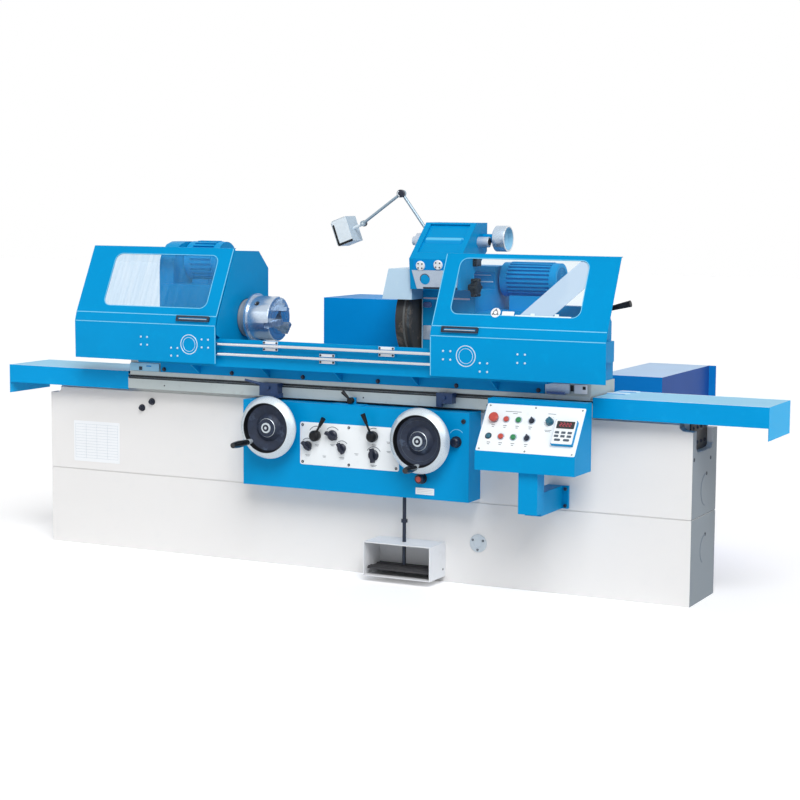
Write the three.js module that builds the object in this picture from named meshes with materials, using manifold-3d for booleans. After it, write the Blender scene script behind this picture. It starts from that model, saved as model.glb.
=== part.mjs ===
import * as THREE from 'three';
import { mergeVertices } from 'three/addons/utils/BufferGeometryUtils.js';
import Module from 'manifold-3d';

// Universal cylindrical grinding machine, millimetres, Z up.
// The origin is on the floor under the middle of the bed and X runs along the bed to the right.

// Shared clearances and roundness
const gap = 0.3;
const overrun = 5;
const mergeStep = 0.0001;
const sides = { large: 48, medium: 28, small: 20, tiny: 12 };
const cornerSteps = 5;

// Bed casting
const bed = {
  halfLength: 1570,
  front: -160,
  rear: 160,
  deck: 736,
  gutterTop: 700,
  wall: 35,
  hollowTop: 540,
  ribHalf: 30,
  seamBottom: 351,
  seamHeight: 4,
  seamDepth: 3,
  troughHalf: 1500,
  troughFront: -95,
  troughRear: 30,
  troughFloor: 612,
  vee: [[-158, 733], [-134, 764], [-126, 764], [-102, 733]],
  flatFront: 30,
  flatRear: 80,
  notchDepth: 30,
  notch: [[-115, 745], [-115, 640], [-95, 620], [85, 620], [105, 640], [105, 770], [-115, 770]],
  stepRear: -100,
  endStep: [[57, 790], [57, 722], [43, 711], [-10, 708], [-10, 790]],
};
const rearBed = {
  left: -420, right: 900, rear: 1000, top: 700, roof: 60, ribs: [-80, 240, 560], ribHalf: 15,
};
const barrel = { half: 500, top: 712 };
const crossRails = { at: [200, 520], halfWidth: 20, front: 165, rear: 905 };

// Ways and tables
const lowerTable = {
  left: -1091, right: 1165, front: -220, rear: 85, bottom: 756, top: 820,
  slotBottom: 807, slotTop: 818, slotDepth: 12,
};
const veeClearance = 0.5;
const upperTable = { left: -1080, right: 1155, lipTop: 837, lipDepth: 6, rear: 58, top: 885 };
const swivelPin = { x: 37, y: -67, radius: 20, height: 30 };
const piston = {
  y: -32, z: 670, radius: 18, left: -1070, right: 1140,
  bracketLength: 40, bracketFront: -62, bracketRear: -2, bracketBottom: 645,
};
const dogLeft = {
  left: -372, right: -280, front: -262, bottom: 764, top: 819.8,
  noseRight: -267, noseLeft: -300, noseBottom: 758, noseTop: 776, noseRear: -235,
  leverFrom: [-362, -252, 811], leverTo: [-437, -276, 831], leverThick: 7, leverThin: 5,
};
const dogRight = {
  left: 483, right: 557, front: -258, bottom: 776, top: 819.8,
  noseLeft: 483, noseRight: 507, noseBottom: 761, noseTop: 780, noseRear: -235,
};
const dogScrew = { radius: 8, length: 9, below: 19.8 };

// Trays at the table ends
const tray = { top: 833, skirt: 750, sheet: 3, flap: 700 };
const trayOver = { left: 195, right: 323 };
const trayLeftEnd = -bed.halfLength - trayOver.left;
const trayRightEnd = bed.halfLength + trayOver.right;

// Apron, its wheels, levers and knobs
const apron = { left: -443, right: 646, front: -280, bottom: 370, top: 745 };
const boreDepth = 22;
const handShaft = 12;
const gripShare = 0.79;
const traverseWheel = { x: -280, z: 636, radius: 136.5, gripTurn: 218, gripLength: 120 };
const infeedWheel = { x: 448, z: 624, radius: 139, gripTurn: 268, gripLength: 92 };
const wheelShape = {
  rimBack: 50, rimMiddle: 62, rimShoulder: 80, rimFront: 90, rimShares: [0.76, 0.8, 0.925, 0.97, 1],
  discFront: 70, discBack: 52, hub: 38, hubStart: 6, hubFront: 78, hubRise: 60, cap: 22, capFront: 84,
};
const grip = { boss: 13, bossBack: 58, pin: 6, pinEnd: 96, thick: 15, thin: 11, bulge: 0.6 };
const leverShaft = 8;
const leverHub = { foot: 20, body: 24, shoulder: 12, face: 30, crown: 16, top: 42, reach: 24 };
const leverBar = { thin: 5, gripThin: 7, gripThick: 11, gripShare: 0.42, lift: 14 };
const traverseLever = { x: -73, z: 608, tipX: -21, tipZ: 687 };
const feedLever = { x: 204, z: 622, tipX: 168, tipZ: 719 };
const knobShaft = 5;
const knobBody = { radius: 20, rise: 8, crown: 15, top: 13, barHalf: 6, barTop: 26, barShare: 1.25 };
const apronKnobs = [
  { name: 'knob_start', x: 4, z: 613, turn: -25, scale: 1.15 },
  { name: 'knob_dwell_left', x: -118, z: 561, turn: -40, scale: 1 },
  { name: 'knob_dwell_right', x: 50, z: 560, turn: -60, scale: 1 },
  { name: 'knob_speed', x: 203, z: 540, turn: -85, scale: 1.2 },
];
const stopKnob = { x: 589, z: 622, radius: 20, flange: 24, rise: 6, top: 30 };
const fineKnob = { x: 431, z: 458, radius: 20, flange: 24, rise: 5, top: 36 };
const reverser = {
  x: 75, z: 764, bossLeft: 60, bossRight: 90, bossFront: -240, bossRear: -226, bossTop: 776,
  hub: 13, hubFront: -262, pin: 6, tip: [36, -252, 800], thin: 4, thick: 9,
  plateLeft: -8, plateRight: 147, plateFront: -277, plateTop: 749,
};

// Foot pedal below the apron
const pedalBox = { left: 172, right: 487, front: -315, bottom: 25, top: 172, sheet: 4 };
const pedalRod = {
  x: 330, y: -240, radius: 8, bottom: 74, top: 395, collar: 14, collarFrom: 256, collarTo: 270,
};
const pedalRodBore = 430;
const pedal = {
  axisY: -184, axisZ: 58, tube: 9, pin: 5, left: 186, right: 473, front: -303, under: 54, over: 63,
};
const pedalRibs = { count: 5, from: -296, pitch: 20, width: 8, height: 4 };

// Console
const console_ = {
  left: 771, right: 1200, rear: -320,
  profile: [[-320, 547], [-500, 547], [-500, 623], [-372, 806], [-377, 824], [-320, 824]],
  slopeStart: [-500, 623],
  slopeEnd: [-372, 806],
};
const consolePost = { left: 953, right: 1035, front: -478, rear: -406, bottom: 378, top: 552 };
const consoleArm = { left: 953, right: 1022, bottom: 362, top: 456, padRight: 1048, padFront: -176 };
const displayUnit = { left: 1092, right: 1182, low: 46, high: 154, rise: 20 };
const controlRows = { upper: 150, lower: 71 };
const button = { stem: 8, depth: 18, cap: 11, top: 11, press: 3, bevel: 2 };
const stopButton = { stem: 9, depth: 18, neck: 12, cap: 20, capFrom: 14, top: 27, press: 4, bevel: 5 };
const turnKnob = {
  stem: 6, depth: 14, base: 12, baseTop: 5, crown: 9, crownTop: 9, barHalf: 3, barTop: 16, barReach: 12,
};
const dialKnob = {
  stem: 6, depth: 14, base: 17, baseTop: 6, crown: 14, crownTop: 18, barHalf: 4, barTop: 22, barReach: 14,
};
const pushButtons = [
  { name: 'button_red_upper', x: 872, row: 'upper', colour: 'red' },
  { name: 'button_green_upper', x: 925, row: 'upper', colour: 'green' },
  { name: 'button_red_lower', x: 868, row: 'lower', colour: 'red' },
  { name: 'button_green_lower', x: 922, row: 'lower', colour: 'green' },
];
const selectors = [
  { name: 'selector_upper', x: 982, row: 'upper' },
  { name: 'selector_lower', x: 980, row: 'lower' },
];
const stopButtonAt = 821;
const speedDialAt = 1060;

// Splash guard, rails and clips
const guard = {
  left: -981, right: 997, front: -300, sheet: 5, bottom: 885, top: 1008,
  flangeLeft: -915, flangeRight: 955, flangeBottom: 837.3,
  gussetAt: [-706, -346, 15, 382, 747],
  gussetThick: 5,
  gusset: [[-297, 887], [-218, 887], [-218, 839]],
};
const bulkhead = {
  at: -553, thick: 4, setback: 12, foot: 1012, top: 1390, hole: 86,
  rear: [[40, 1383], [124, 1304], [124, 960], [56, 885.3]],
};
const rails = { radius: 7, y: -318, upper: 986, lower: 943, left: -960, right: 985 };
const clips = {
  upperAt: [-290, 273, -940, 965], lowerAt: [-11, -940, 965],
  half: 45, height: 22, base: 5, webHalf: 5, webLength: 34,
};

// Sliding doors
const doorProfile = [[-331, 897], [-333, 1065], [-320, 1105], [-172, 1400], [-157, 1400]];
const slopeFrom = 2;
const doorSheet = 3;
const slider = { half: 20, tall: 13, rear: -311.5, mouth: 6, webInto: 1, bore: 7.3 };
const doorGrip = { bottom: 1079, top: 1104, proud: 9, slot: 5 };
const doors = {
  left: {
    left: -1302, right: -553, upperSliders: [-927, -607], lowerSliders: [-767],
    window: [-1166, -622, 38, 292], grip: [-756, -587],
  },
  right: {
    left: 488, right: 1260, upperSliders: [565, 897], lowerSliders: [731],
    window: [560, 1130, 58, 308], grip: [539, 703],
  },
};
const windowCorner = 34;
const paneLap = 12;
const paneThick = 3;

// Workhead, chuck and tailstock
const axis = { y: -65, z: 1088 };
const workhead = {
  left: -953, right: -560, front: -165, rear: 35, baseTop: 925,
  baseLeft: -948, baseRight: -600, baseFront: -175, baseRear: 50, top: 1232,
  nose: 80, shaft: 35, shaftEnd: -760, shelf: 20,
  cover: [[-110, 1000], [10, 1000], [130, 1230], [138, 1320], [128, 1368], [96, 1404], [50, 1421],
    [-20, 1421], [-66, 1408], [-102, 1378], [-121, 1338], [-125, 1300], [-125, 1030]],
  coverLeft: -980, coverRight: -905,
};
const workMotor = {
  left: -900, right: -722, y: 40, z: 1334, radius: 92, feetTop: 1252, feetFront: -50, feetRear: 130,
  boxLeft: -868, boxRight: -778, boxRear: 160, boxFront: 60, boxLow: 1300, boxHigh: 1370,
};
const fins = { count: 26, depth: 9, share: 0.45, bell: 0.96, bellLength: 34, feetInset: 46 };
const chuck = {
  back: -508, plate: -497, face: -388, plateRadius: 110, radius: 100, bore: 25, boreDepth: 60,
  bevel: 3, keyRadius: 9, keyDepth: 30, keyAlong: -458, keyTurn: 118,
};
const jawSlot = { halfWidth: 12, depth: 20, inner: 18 };
const jaw = { inner: 34, outer: 88, steps: [[70, 14], [52, 27]], top: 40, turns: [75, 195, 315] };
const tailstock = {
  left: 930, right: 1150, front: -155, rear: 25, top: 1190, shoulder: 1125, footTop: 960, footFront: -170,
  footRear: 50, capRight: 1172, capFront: -120, capRear: 0, capBottom: 962, capTop: 1048,
};
const quill = { radius: 27, left: 898, right: 1085, tip: 858, tipRadius: 13, boreEnd: 1124 };
const tailLever = {
  x: 1125, z: 1168, hub: 22, hubFront: -188, shaft: 9, tip: [1302, -172, 1214],
  thin: 6, gripThin: 9, gripThick: 14, gripShare: 0.3,
};

// Wheelhead on its cross slide
const crossSlide = {
  left: 160, right: 560, front: 290, rear: 760, top: 800, skirtBottom: 712, skirtWidth: 19,
  turnX: 360, turnY: 430, discRadius: 190, discTop: 820,
};
const wheelhead = {
  left: 203, right: 525, front: 187, setback: 262, step: 960, rear: 640, top: 1225,
  motorFrom: 455, motorDeck: 1130, shelfRight: 745, shelfFront: 400, shelfRear: 585, shelfBottom: 1096,
  lugLeft: 300, lugRight: 350, lugRadius: 24, lugFoot: [[192, 1206], [192, 1224], [150, 1270], [128, 1242]],
  postX: 219, postRadius: 9, postShoulder: 1364, neckRadius: 5.5, postTop: 1379,
  housing: [[400, 1220], [600, 1220], [600, 1300], [575, 1325], [425, 1325], [400, 1300]], housingLeft: 212,
};
const wheelMotor = {
  left: 470, right: 740, y: 492, z: 1266, radius: 80, feetTop: 1196, feetFront: 425, feetRear: 560,
  boxLeft: 560, boxRight: 650, boxRear: 598, boxFront: 520, boxLow: 1236, boxHigh: 1298,
};
const wheel = {
  y: 295, z: 1088, radius: 200, left: 110, right: 185, flange: 76, flangeLeft: 100, flangeRight: 190,
  spindle: 40, spindleEnd: 500, hub: 50, hubShoulder: 84, hubTop: 30, hubEnd: 70, bevel: 3,
};
const hood = {
  left: 88, flare: 57, front: 74, rear: 530, joint: 190, mouth: 1184, top: 1318, bottom: 900, wall: 6,
  hubHole: 60, spindleHole: 47,
};
const armHinge = { y: 142.5, z: 1253.5, pin: 12 };
const internalArm = {
  left: 203, right: 447,
  profile: [[60, 1232], [45, 1365], [215, 1520], [330, 1520], [330, 1395], [195, 1300], [195, 1232]],
  notchMargin: 2, notchFront: 88, notchTop: 1284,
  recess: [[60, 1392], [84, 1392], [216, 1508], [180, 1530]], recessEdge: 26,
  cup: { y: 300, z: 1452, tube: 20, radius: 56, wall: 5, from: 505, to: 563, neck: 26 },
};
const internalSpindle = {
  y: 240, z: 1437, shaft: 22, nose: 35, noseLeft: 130, noseStep: 150, noseSmall: 20, right: 498,
  rightRadius: 23, collarRight: 459,
};

// Lamp
const lamp = {
  base: [216, 1386], elbow: [19, 1646], wrist: [-174, 1509], head: [-264, 1473],
  planeFront: 338, planeRear: 352, stackRear: 364, upperFront: 324,
  knuckle: 14, elbowKnuckle: 17, wristKnuckle: 12, pin: 5, rod: 7, upperRod: 6.7,
  headFront: 296, headRear: 394, headHalfWidth: 39, headHalfHeight: 59, headTurn: 20,
  bracket: 7, lensProud: 8, lensInset: 6,
};

// Cabinets
const cabinet = { left: -415, right: 45, front: 400, rear: 760, top: 1161, lip: 4, lipInset: 18 };
const tank = {
  left: 900, right: 1195, front: 556, rear: 1240, top: 850, wall: 6,
  flangeRight: 1228, flangeBottom: 640, flangeThick: 4,
};

// Colours of the materials
const paints = {
  blue: [0x0a9fdc, 0.45, 0.05],
  white: [0xe4e6e8, 0.5, 0.05],
  steel: [0xb9bec2, 0.3, 0.9],
  chrome: [0xe2e5e8, 0.12, 1],
  castGrey: [0x9aa3a9, 0.5, 0.6],
  navy: [0x2b3a52, 0.5, 0.3],
  black: [0x1c1f22, 0.6, 0],
  stone: [0x4a3f36, 0.95, 0],
  red: [0xb2322a, 0.4, 0],
  green: [0x1f8a4c, 0.4, 0],
  teal: [0x1d6f86, 0.45, 0],
  glass: [0xcfe6f2, 0.05, 0],
};

const wasm = await Module();
wasm.setup();
const along = {
  x: new THREE.Vector3(1, 0, 0),
  y: new THREE.Vector3(0, 1, 0),
  front: new THREE.Vector3(0, -1, 0),
  z: new THREE.Vector3(0, 0, 1),
};

function solid(geometry) {
  const bare = new THREE.BufferGeometry();
  bare.setAttribute('position', geometry.getAttribute('position').clone());
  if (geometry.index) bare.setIndex(geometry.index.clone());
  const merged = mergeVertices(bare, mergeStep);
  const places = merged.getAttribute('position').array;
  const index = merged.index.array;
  const faces = [];
  for (let i = 0; i < index.length; i += 3) {
    const [a, b, c] = [index[i], index[i + 1], index[i + 2]];
    if (a !== b && b !== c && c !== a) faces.push([a, b, c]);
  }
  const corner = (n) => new THREE.Vector3().fromArray(places, n * 3);
  let volume = 0;
  for (const [a, b, c] of faces) volume += corner(a).dot(corner(b).cross(corner(c)));
  const ordered = volume < 0 ? faces.map(([a, b, c]) => [a, c, b]) : faces;
  const mesh = new wasm.Mesh({
    numProp: 3,
    vertProperties: new Float32Array(places),
    triVerts: new Uint32Array(ordered.flat()),
  });
  return new wasm.Manifold(mesh);
}

function join(...bodies) {
  return bodies.reduce((sum, body) => sum.add(body));
}

function cut(body, ...tools) {
  return tools.reduce((rest, tool) => rest.subtract(tool), body);
}

function box(x0, x1, y0, y1, z0, z1) {
  const geometry = new THREE.BoxGeometry(x1 - x0, y1 - y0, z1 - z0);
  geometry.translate((x0 + x1) / 2, (y0 + y1) / 2, (z0 + z1) / 2);
  return solid(geometry);
}

function prism(points, length, right, up, out, origin) {
  const shape = new THREE.Shape(points.map(([u, v]) => new THREE.Vector2(u, v)));
  const geometry = new THREE.ExtrudeGeometry(shape, { depth: length, bevelEnabled: false });
  geometry.applyMatrix4(new THREE.Matrix4().makeBasis(right, up, out).setPosition(origin));
  return solid(geometry);
}

// Points are given as Y and Z
function alongX(points, x0, x1) {
  return prism(points, x1 - x0, along.y, along.z, along.x, new THREE.Vector3(x0, 0, 0));
}

// Points are given as X and Z
function alongY(points, y0, y1) {
  return prism(points, y1 - y0, along.x, along.z, along.front, new THREE.Vector3(0, y1, 0));
}

// Points are given as X and Y
function alongZ(points, z0, z1) {
  return prism(points, z1 - z0, along.x, along.y, along.z, new THREE.Vector3(0, 0, z0));
}

// The profile is a list of radius and distance along the direction
function turned(profile, count, origin, direction) {
  const points = profile.map(([radius, distance]) => new THREE.Vector2(radius, distance));
  const geometry = new THREE.LatheGeometry(points, count);
  geometry.applyQuaternion(new THREE.Quaternion().setFromUnitVectors(along.y, direction));
  geometry.translate(origin.x, origin.y, origin.z);
  return solid(geometry);
}

function point(x, y, z) {
  return new THREE.Vector3(x, y, z);
}

function rod(radius, from, to, count, origin, direction) {
  return turned([[0, from], [radius, from], [radius, to], [0, to]], count, origin, direction);
}

function rodX(radius, x0, x1, y, z, count) {
  return rod(radius, x0, x1, count, point(0, y, z), along.x);
}

function rodY(radius, y0, y1, x, z, count) {
  return rod(radius, y0, y1, count, point(x, 0, z), along.y);
}

function rodZ(radius, z0, z1, x, y, count) {
  return rod(radius, z0, z1, count, point(x, y, 0), along.z);
}

function taper(from, to, startRadius, endRadius, count) {
  const way = to.clone().sub(from);
  const length = way.length();
  const profile = [[0, 0], [startRadius, 0], [endRadius, length], [0, length]];
  return turned(profile, count, from, way.normalize());
}

function rounded(x0, x1, y0, y1, radius) {
  const centres = [[x1 - radius, y1 - radius], [x0 + radius, y1 - radius],
    [x0 + radius, y0 + radius], [x1 - radius, y0 + radius]];
  const points = [];
  centres.forEach(([x, y], corner) => {
    for (let i = 0; i <= cornerSteps; i += 1) {
      const turn = (corner + i / cornerSteps) * Math.PI / 2;
      points.push([x + radius * Math.cos(turn), y + radius * Math.sin(turn)]);
    }
  });
  return points;
}

function offsetLine(points, distance) {
  const normals = points.slice(1).map(([u, v], i) => {
    const [a, b] = points[i];
    const length = Math.hypot(u - a, v - b);
    return [(v - b) / length, -(u - a) / length];
  });
  return points.map(([u, v], i) => {
    const before = normals[Math.max(i - 1, 0)];
    const after = normals[Math.min(i, normals.length - 1)];
    const scale = distance / (1 + before[0] * after[0] + before[1] * after[1]);
    return [u + (before[0] + after[0]) * scale, v + (before[1] + after[1]) * scale];
  });
}

function slopeFrame([y0, z0], [y1, z1]) {
  const angle = Math.atan2(z1 - z0, y1 - y0) * 180 / Math.PI;
  return (body) => body.rotate([angle, 0, 0]).translate([0, y0, z0]);
}

const onConsole = slopeFrame(console_.slopeStart, console_.slopeEnd);
const onDoorSlope = slopeFrame(doorProfile[slopeFrom], doorProfile[slopeFrom + 1]);

// Bed

function bedVee(left, right) {
  return alongX(bed.vee, left, right);
}

function buildBed() {
  const half = bed.halfLength;
  const deckOver = bed.deck + overrun;
  const rearIn = bed.rear - overrun;
  let body = box(-half, half, bed.front, bed.rear, 0, bed.deck);
  const gutter = box(
    -half - overrun, half + overrun, bed.flatRear, bed.rear + overrun, bed.gutterTop, deckOver,
  );
  body = cut(body, gutter);
  body = join(
    body,
    bedVee(-half, half),
    box(-half, half, bed.flatFront, bed.flatRear, bed.deck - overrun, lowerTable.bottom - gap),
    box(rearBed.left, rearBed.right, rearIn, rearBed.rear, 0, rearBed.top),
  );
  for (const at of crossRails.at) {
    const side = crossRails.halfWidth;
    const low = rearBed.top - overrun;
    const rail = box(at - side, at + side, crossRails.front, crossRails.rear, low, bed.deck);
    body = join(body, rail);
  }
  const trough = box(
    -bed.troughHalf, bed.troughHalf, bed.troughFront, bed.troughRear, bed.troughFloor, deckOver,
  );
  body = cut(body, trough, ...bedEndCuts(), ...bedSeam(), ...bedHollows());
  return join(body, buildBarrel());
}

function bedEndCuts() {
  const half = bed.halfLength;
  const step = (side) => bed.endStep.map(([inward, z]) => [side * (half - inward), z]);
  return [
    alongX(bed.notch, half - bed.notchDepth, half + overrun),
    alongX(bed.notch, -half - overrun, -half + bed.notchDepth),
    alongY(step(1), bed.front - overrun, bed.stepRear),
    alongY(step(-1), bed.front - overrun, bed.stepRear),
  ];
}

function bedSeam() {
  const half = bed.halfLength;
  const low = bed.seamBottom;
  const high = bed.seamBottom + bed.seamHeight;
  const deep = bed.seamDepth;
  return [
    box(-half - overrun, half + overrun, bed.front - overrun, bed.front + deep, low, high),
    box(half - deep, half + overrun, bed.front - overrun, bed.rear + overrun, low, high),
    box(-half - overrun, -half + deep, bed.front - overrun, bed.rear + overrun, low, high),
  ];
}

function bedHollows() {
  const half = bed.halfLength - bed.wall;
  const front = bed.front + bed.wall;
  const rear = bed.rear - bed.wall;
  const rearFront = bed.rear + bed.wall;
  const rearBack = rearBed.rear - bed.wall;
  const roof = rearBed.top - rearBed.roof;
  const starts = [rearBed.left + bed.wall, ...rearBed.ribs.map((at) => at + rearBed.ribHalf)];
  const ends = [...rearBed.ribs.map((at) => at - rearBed.ribHalf), rearBed.right - bed.wall];
  return [
    box(bed.ribHalf, half, front, rear, -overrun, bed.hollowTop),
    box(-half, -bed.ribHalf, front, rear, -overrun, bed.hollowTop),
    ...starts.map((start, i) => box(start, ends[i], rearFront, rearBack, -overrun, roof)),
  ];
}

function buildBarrel() {
  const half = barrel.half;
  const low = bed.troughFloor - overrun;
  const block = box(-half, half, bed.troughFront - overrun, bed.troughRear + overrun, low, barrel.top);
  const bore = rodX(piston.radius + gap, -half - overrun, half + overrun, piston.y, piston.z, sides.medium);
  return cut(block, bore);
}

// Tables

function buildLowerTable() {
  const t = lowerTable;
  const [left, right] = [t.left - overrun, t.right + overrun];
  const slot = box(left, right, t.front - overrun, t.front + t.slotDepth, t.slotBottom, t.slotTop);
  const vee = bed.vee.map(([y, z]) => [y, z + veeClearance]);
  const body = cut(box(t.left, t.right, t.front, t.rear, t.bottom, t.top), slot, alongX(vee, left, right));
  const pin = swivelPin;
  return join(body, rodZ(pin.radius, t.top - overrun, t.top + pin.height, pin.x, pin.y, sides.medium));
}

function buildUpperTable() {
  const t = upperTable;
  const bottom = lowerTable.top + gap;
  const front = lowerTable.front + t.lipDepth;
  const pin = swivelPin;
  const body = join(
    box(t.left, t.right, front + gap, t.rear, bottom, t.top),
    box(t.left, t.right, lowerTable.front, front + gap + overrun, bottom, t.lipTop),
  );
  const boreTop = lowerTable.top + pin.height + gap;
  return cut(body, rodZ(pin.radius + gap, bottom - overrun, boreTop, pin.x, pin.y, sides.medium));
}

function tongue(left, right) {
  const t = lowerTable;
  const rear = t.front + t.slotDepth - gap;
  return box(left, right, t.front - overrun, rear, t.slotBottom + gap, t.slotTop - gap);
}

function buildDog(d) {
  const rear = lowerTable.front - gap;
  const middle = (d.left + d.right) / 2;
  const up = d.top - dogScrew.below;
  const screw = rodY(
    dogScrew.radius, d.front - dogScrew.length, d.front + overrun, middle, up, sides.tiny,
  );
  return join(
    box(d.left, d.right, d.front, rear, d.bottom, d.top),
    box(d.noseLeft, d.noseRight, d.front, d.noseRear, d.noseBottom, d.noseTop),
    tongue(d.left, d.right),
    screw,
  );
}

function buildDogLeft() {
  const d = dogLeft;
  const lever = taper(point(...d.leverFrom), point(...d.leverTo), d.leverThick, d.leverThin, sides.tiny);
  return join(buildDog(d), lever);
}

function buildPistonRod() {
  const p = piston;
  const top = lowerTable.bottom - gap;
  return join(
    rodX(p.radius, p.left, p.right, p.y, p.z, sides.medium),
    box(p.left, p.left + p.bracketLength, p.bracketFront, p.bracketRear, p.bracketBottom, top),
    box(p.right - p.bracketLength, p.right, p.bracketFront, p.bracketRear, p.bracketBottom, top),
  );
}

function buildTray(inner, outer) {
  const left = Math.min(inner, outer);
  const right = Math.max(inner, outer);
  const t = tray;
  const front = lowerTable.front;
  const rear = lowerTable.rear;
  const insideLeft = inner < outer ? left - overrun : left + t.sheet;
  const insideRight = inner < outer ? right - t.sheet : right + overrun;
  const shell = cut(
    box(left, right, front, rear, t.skirt, t.top),
    box(insideLeft, insideRight, front + t.sheet, rear - t.sheet, t.skirt - overrun, t.top - t.sheet),
  );
  const flapLeft = inner < outer ? right - t.sheet : left;
  return join(shell, box(flapLeft, flapLeft + t.sheet, front, rear, t.flap, t.top));
}

// Apron and its controls

function apronBore(x, z, radius) {
  return rodY(radius + gap, apron.front - overrun, apron.front + boreDepth, x, z, sides.small);
}

function buildApron() {
  const a = apron;
  const r = reverser;
  let body = box(a.left, a.right, a.front, bed.front - gap, a.bottom, a.top);
  body = join(
    body,
    box(r.plateLeft, r.plateRight, r.plateFront, r.bossRear, a.top - overrun, r.plateTop),
    box(r.bossLeft, r.bossRight, r.bossFront, r.bossRear, a.top - overrun, r.bossTop),
  );
  const bores = [
    apronBore(traverseWheel.x, traverseWheel.z, handShaft),
    apronBore(infeedWheel.x, infeedWheel.z, handShaft),
    apronBore(traverseLever.x, traverseLever.z, leverShaft),
    apronBore(feedLever.x, feedLever.z, leverShaft),
    apronBore(stopKnob.x, stopKnob.z, knobShaft),
    apronBore(fineKnob.x, fineKnob.z, knobShaft),
    ...apronKnobs.map((k) => apronBore(k.x, k.z, knobShaft)),
    rodY(r.pin + gap, r.bossFront - overrun, r.bossRear + overrun, r.x, r.z, sides.small),
    rodZ(pedalRod.radius + gap, a.bottom - overrun, pedalRodBore, pedalRod.x, pedalRod.y, sides.small),
  ];
  return cut(body, ...bores);
}

// Distances along the shaft are measured outwards from the apron front
function onApron(profile, count, x, z) {
  return turned(profile, count, point(x, apron.front, z), along.front);
}

function shaftStart(radius) {
  const depth = gap - boreDepth;
  return [[0, depth], [radius, depth]];
}

function buildHandwheel(w) {
  const s = wheelShape;
  const [inner, face, shoulder, edge, outer] = s.rimShares.map((share) => share * w.radius);
  const profile = [
    ...shaftStart(handShaft),
    [handShaft, s.hubStart], [s.hub, s.hubStart], [s.hub, s.discBack], [inner, s.rimBack],
    [edge, s.rimBack + gap], [outer, s.rimMiddle], [shoulder, s.rimShoulder], [face, s.rimFront],
    [inner, s.discFront], [s.hubRise, s.discBack + overrun], [s.hub, s.hubFront], [s.cap, s.hubFront],
    [s.cap, s.capFront], [0, s.capFront],
  ];
  const turn = w.gripTurn * Math.PI / 180;
  const reach = w.radius * gripShare;
  const x = w.x + reach * Math.cos(turn);
  const z = w.z + reach * Math.sin(turn);
  const end = grip.pinEnd + w.gripLength;
  const bulgeAt = grip.pinEnd + w.gripLength * grip.bulge;
  const handle = onApron([
    [0, grip.bossBack], [grip.boss, grip.bossBack], [grip.boss, s.rimFront], [grip.pin, s.rimFront],
    [grip.pin, grip.pinEnd], [grip.thin, grip.pinEnd], [grip.thick, bulgeAt], [grip.thin, end], [0, end],
  ], sides.tiny, x, z);
  return join(onApron(profile, sides.large, w.x, w.z), handle);
}

function buildLever(l) {
  const h = leverHub;
  const b = leverBar;
  const hub = onApron([
    ...shaftStart(leverShaft),
    [leverShaft, gap], [h.foot, gap], [h.body, h.shoulder], [h.body, h.face], [h.crown, h.top], [0, h.top],
  ], sides.small, l.x, l.z);
  const from = point(l.x, apron.front - h.reach, l.z);
  const to = point(l.tipX, apron.front - h.reach - b.lift, l.tipZ);
  const bend = from.clone().lerp(to, 1 - b.gripShare);
  return join(
    hub,
    taper(from, bend.clone().lerp(to, b.gripShare), b.thin, b.thin, sides.tiny),
    taper(bend, to, b.gripThin, b.gripThick, sides.tiny),
  );
}

function buildPointerKnob(k) {
  const b = knobBody;
  const base = onApron([
    ...shaftStart(knobShaft),
    [knobShaft, gap], [b.radius, gap], [b.radius, b.rise], [b.crown, b.top], [0, b.top],
  ], sides.small, 0, 0);
  const reach = b.radius * b.barShare;
  const bar = box(-reach, reach, apron.front - b.barTop, apron.front - b.rise, -b.barHalf, b.barHalf);
  const knob = join(base, bar).translate([0, -apron.front, 0]).scale([k.scale, 1, k.scale]);
  const wide = reach + reach;
  return cut(
    knob.rotate([0, -k.turn, 0]).translate([k.x, apron.front, k.z]),
    box(k.x - wide, k.x + wide, apron.front, apron.front + boreDepth, k.z - wide, k.z + wide),
  ).add(onApron([...shaftStart(knobShaft), [knobShaft, b.rise], [0, b.rise]], sides.small, k.x, k.z));
}

function buildRoundKnob(k) {
  return onApron([
    ...shaftStart(knobShaft),
    [knobShaft, gap], [k.flange, gap], [k.flange, k.rise], [k.radius, k.rise],
    [k.radius, k.top - k.rise], [k.radius - k.rise, k.top], [0, k.top],
  ], sides.small, k.x, k.z);
}

function buildReversingLever() {
  const r = reverser;
  const hubRear = r.bossFront - gap;
  return join(
    rodY(r.hub, r.hubFront, hubRear, r.x, r.z, sides.small),
    rodY(r.pin, hubRear - overrun, r.bossRear, r.x, r.z, sides.small),
    taper(point(r.x, r.tip[1], r.z), point(...r.tip), r.thin, r.thick, sides.tiny),
  );
}

// Pedal

function buildPedalHousing() {
  const p = pedalBox;
  const rear = bed.front - gap;
  const shell = cut(
    box(p.left, p.right, p.front, rear, p.bottom, p.top),
    box(
      p.left + p.sheet, p.right - p.sheet, p.front - overrun, rear - p.sheet,
      p.bottom + p.sheet, p.top - p.sheet,
    ),
  );
  return cut(
    shell,
    rodZ(
      pedalRod.radius + gap, p.top - p.sheet - overrun, p.top + overrun,
      pedalRod.x, pedalRod.y, sides.small,
    ),
    rodX(pedal.pin + gap, p.left - overrun, p.right + overrun, pedal.axisY, pedal.axisZ, sides.small),
  );
}

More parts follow.
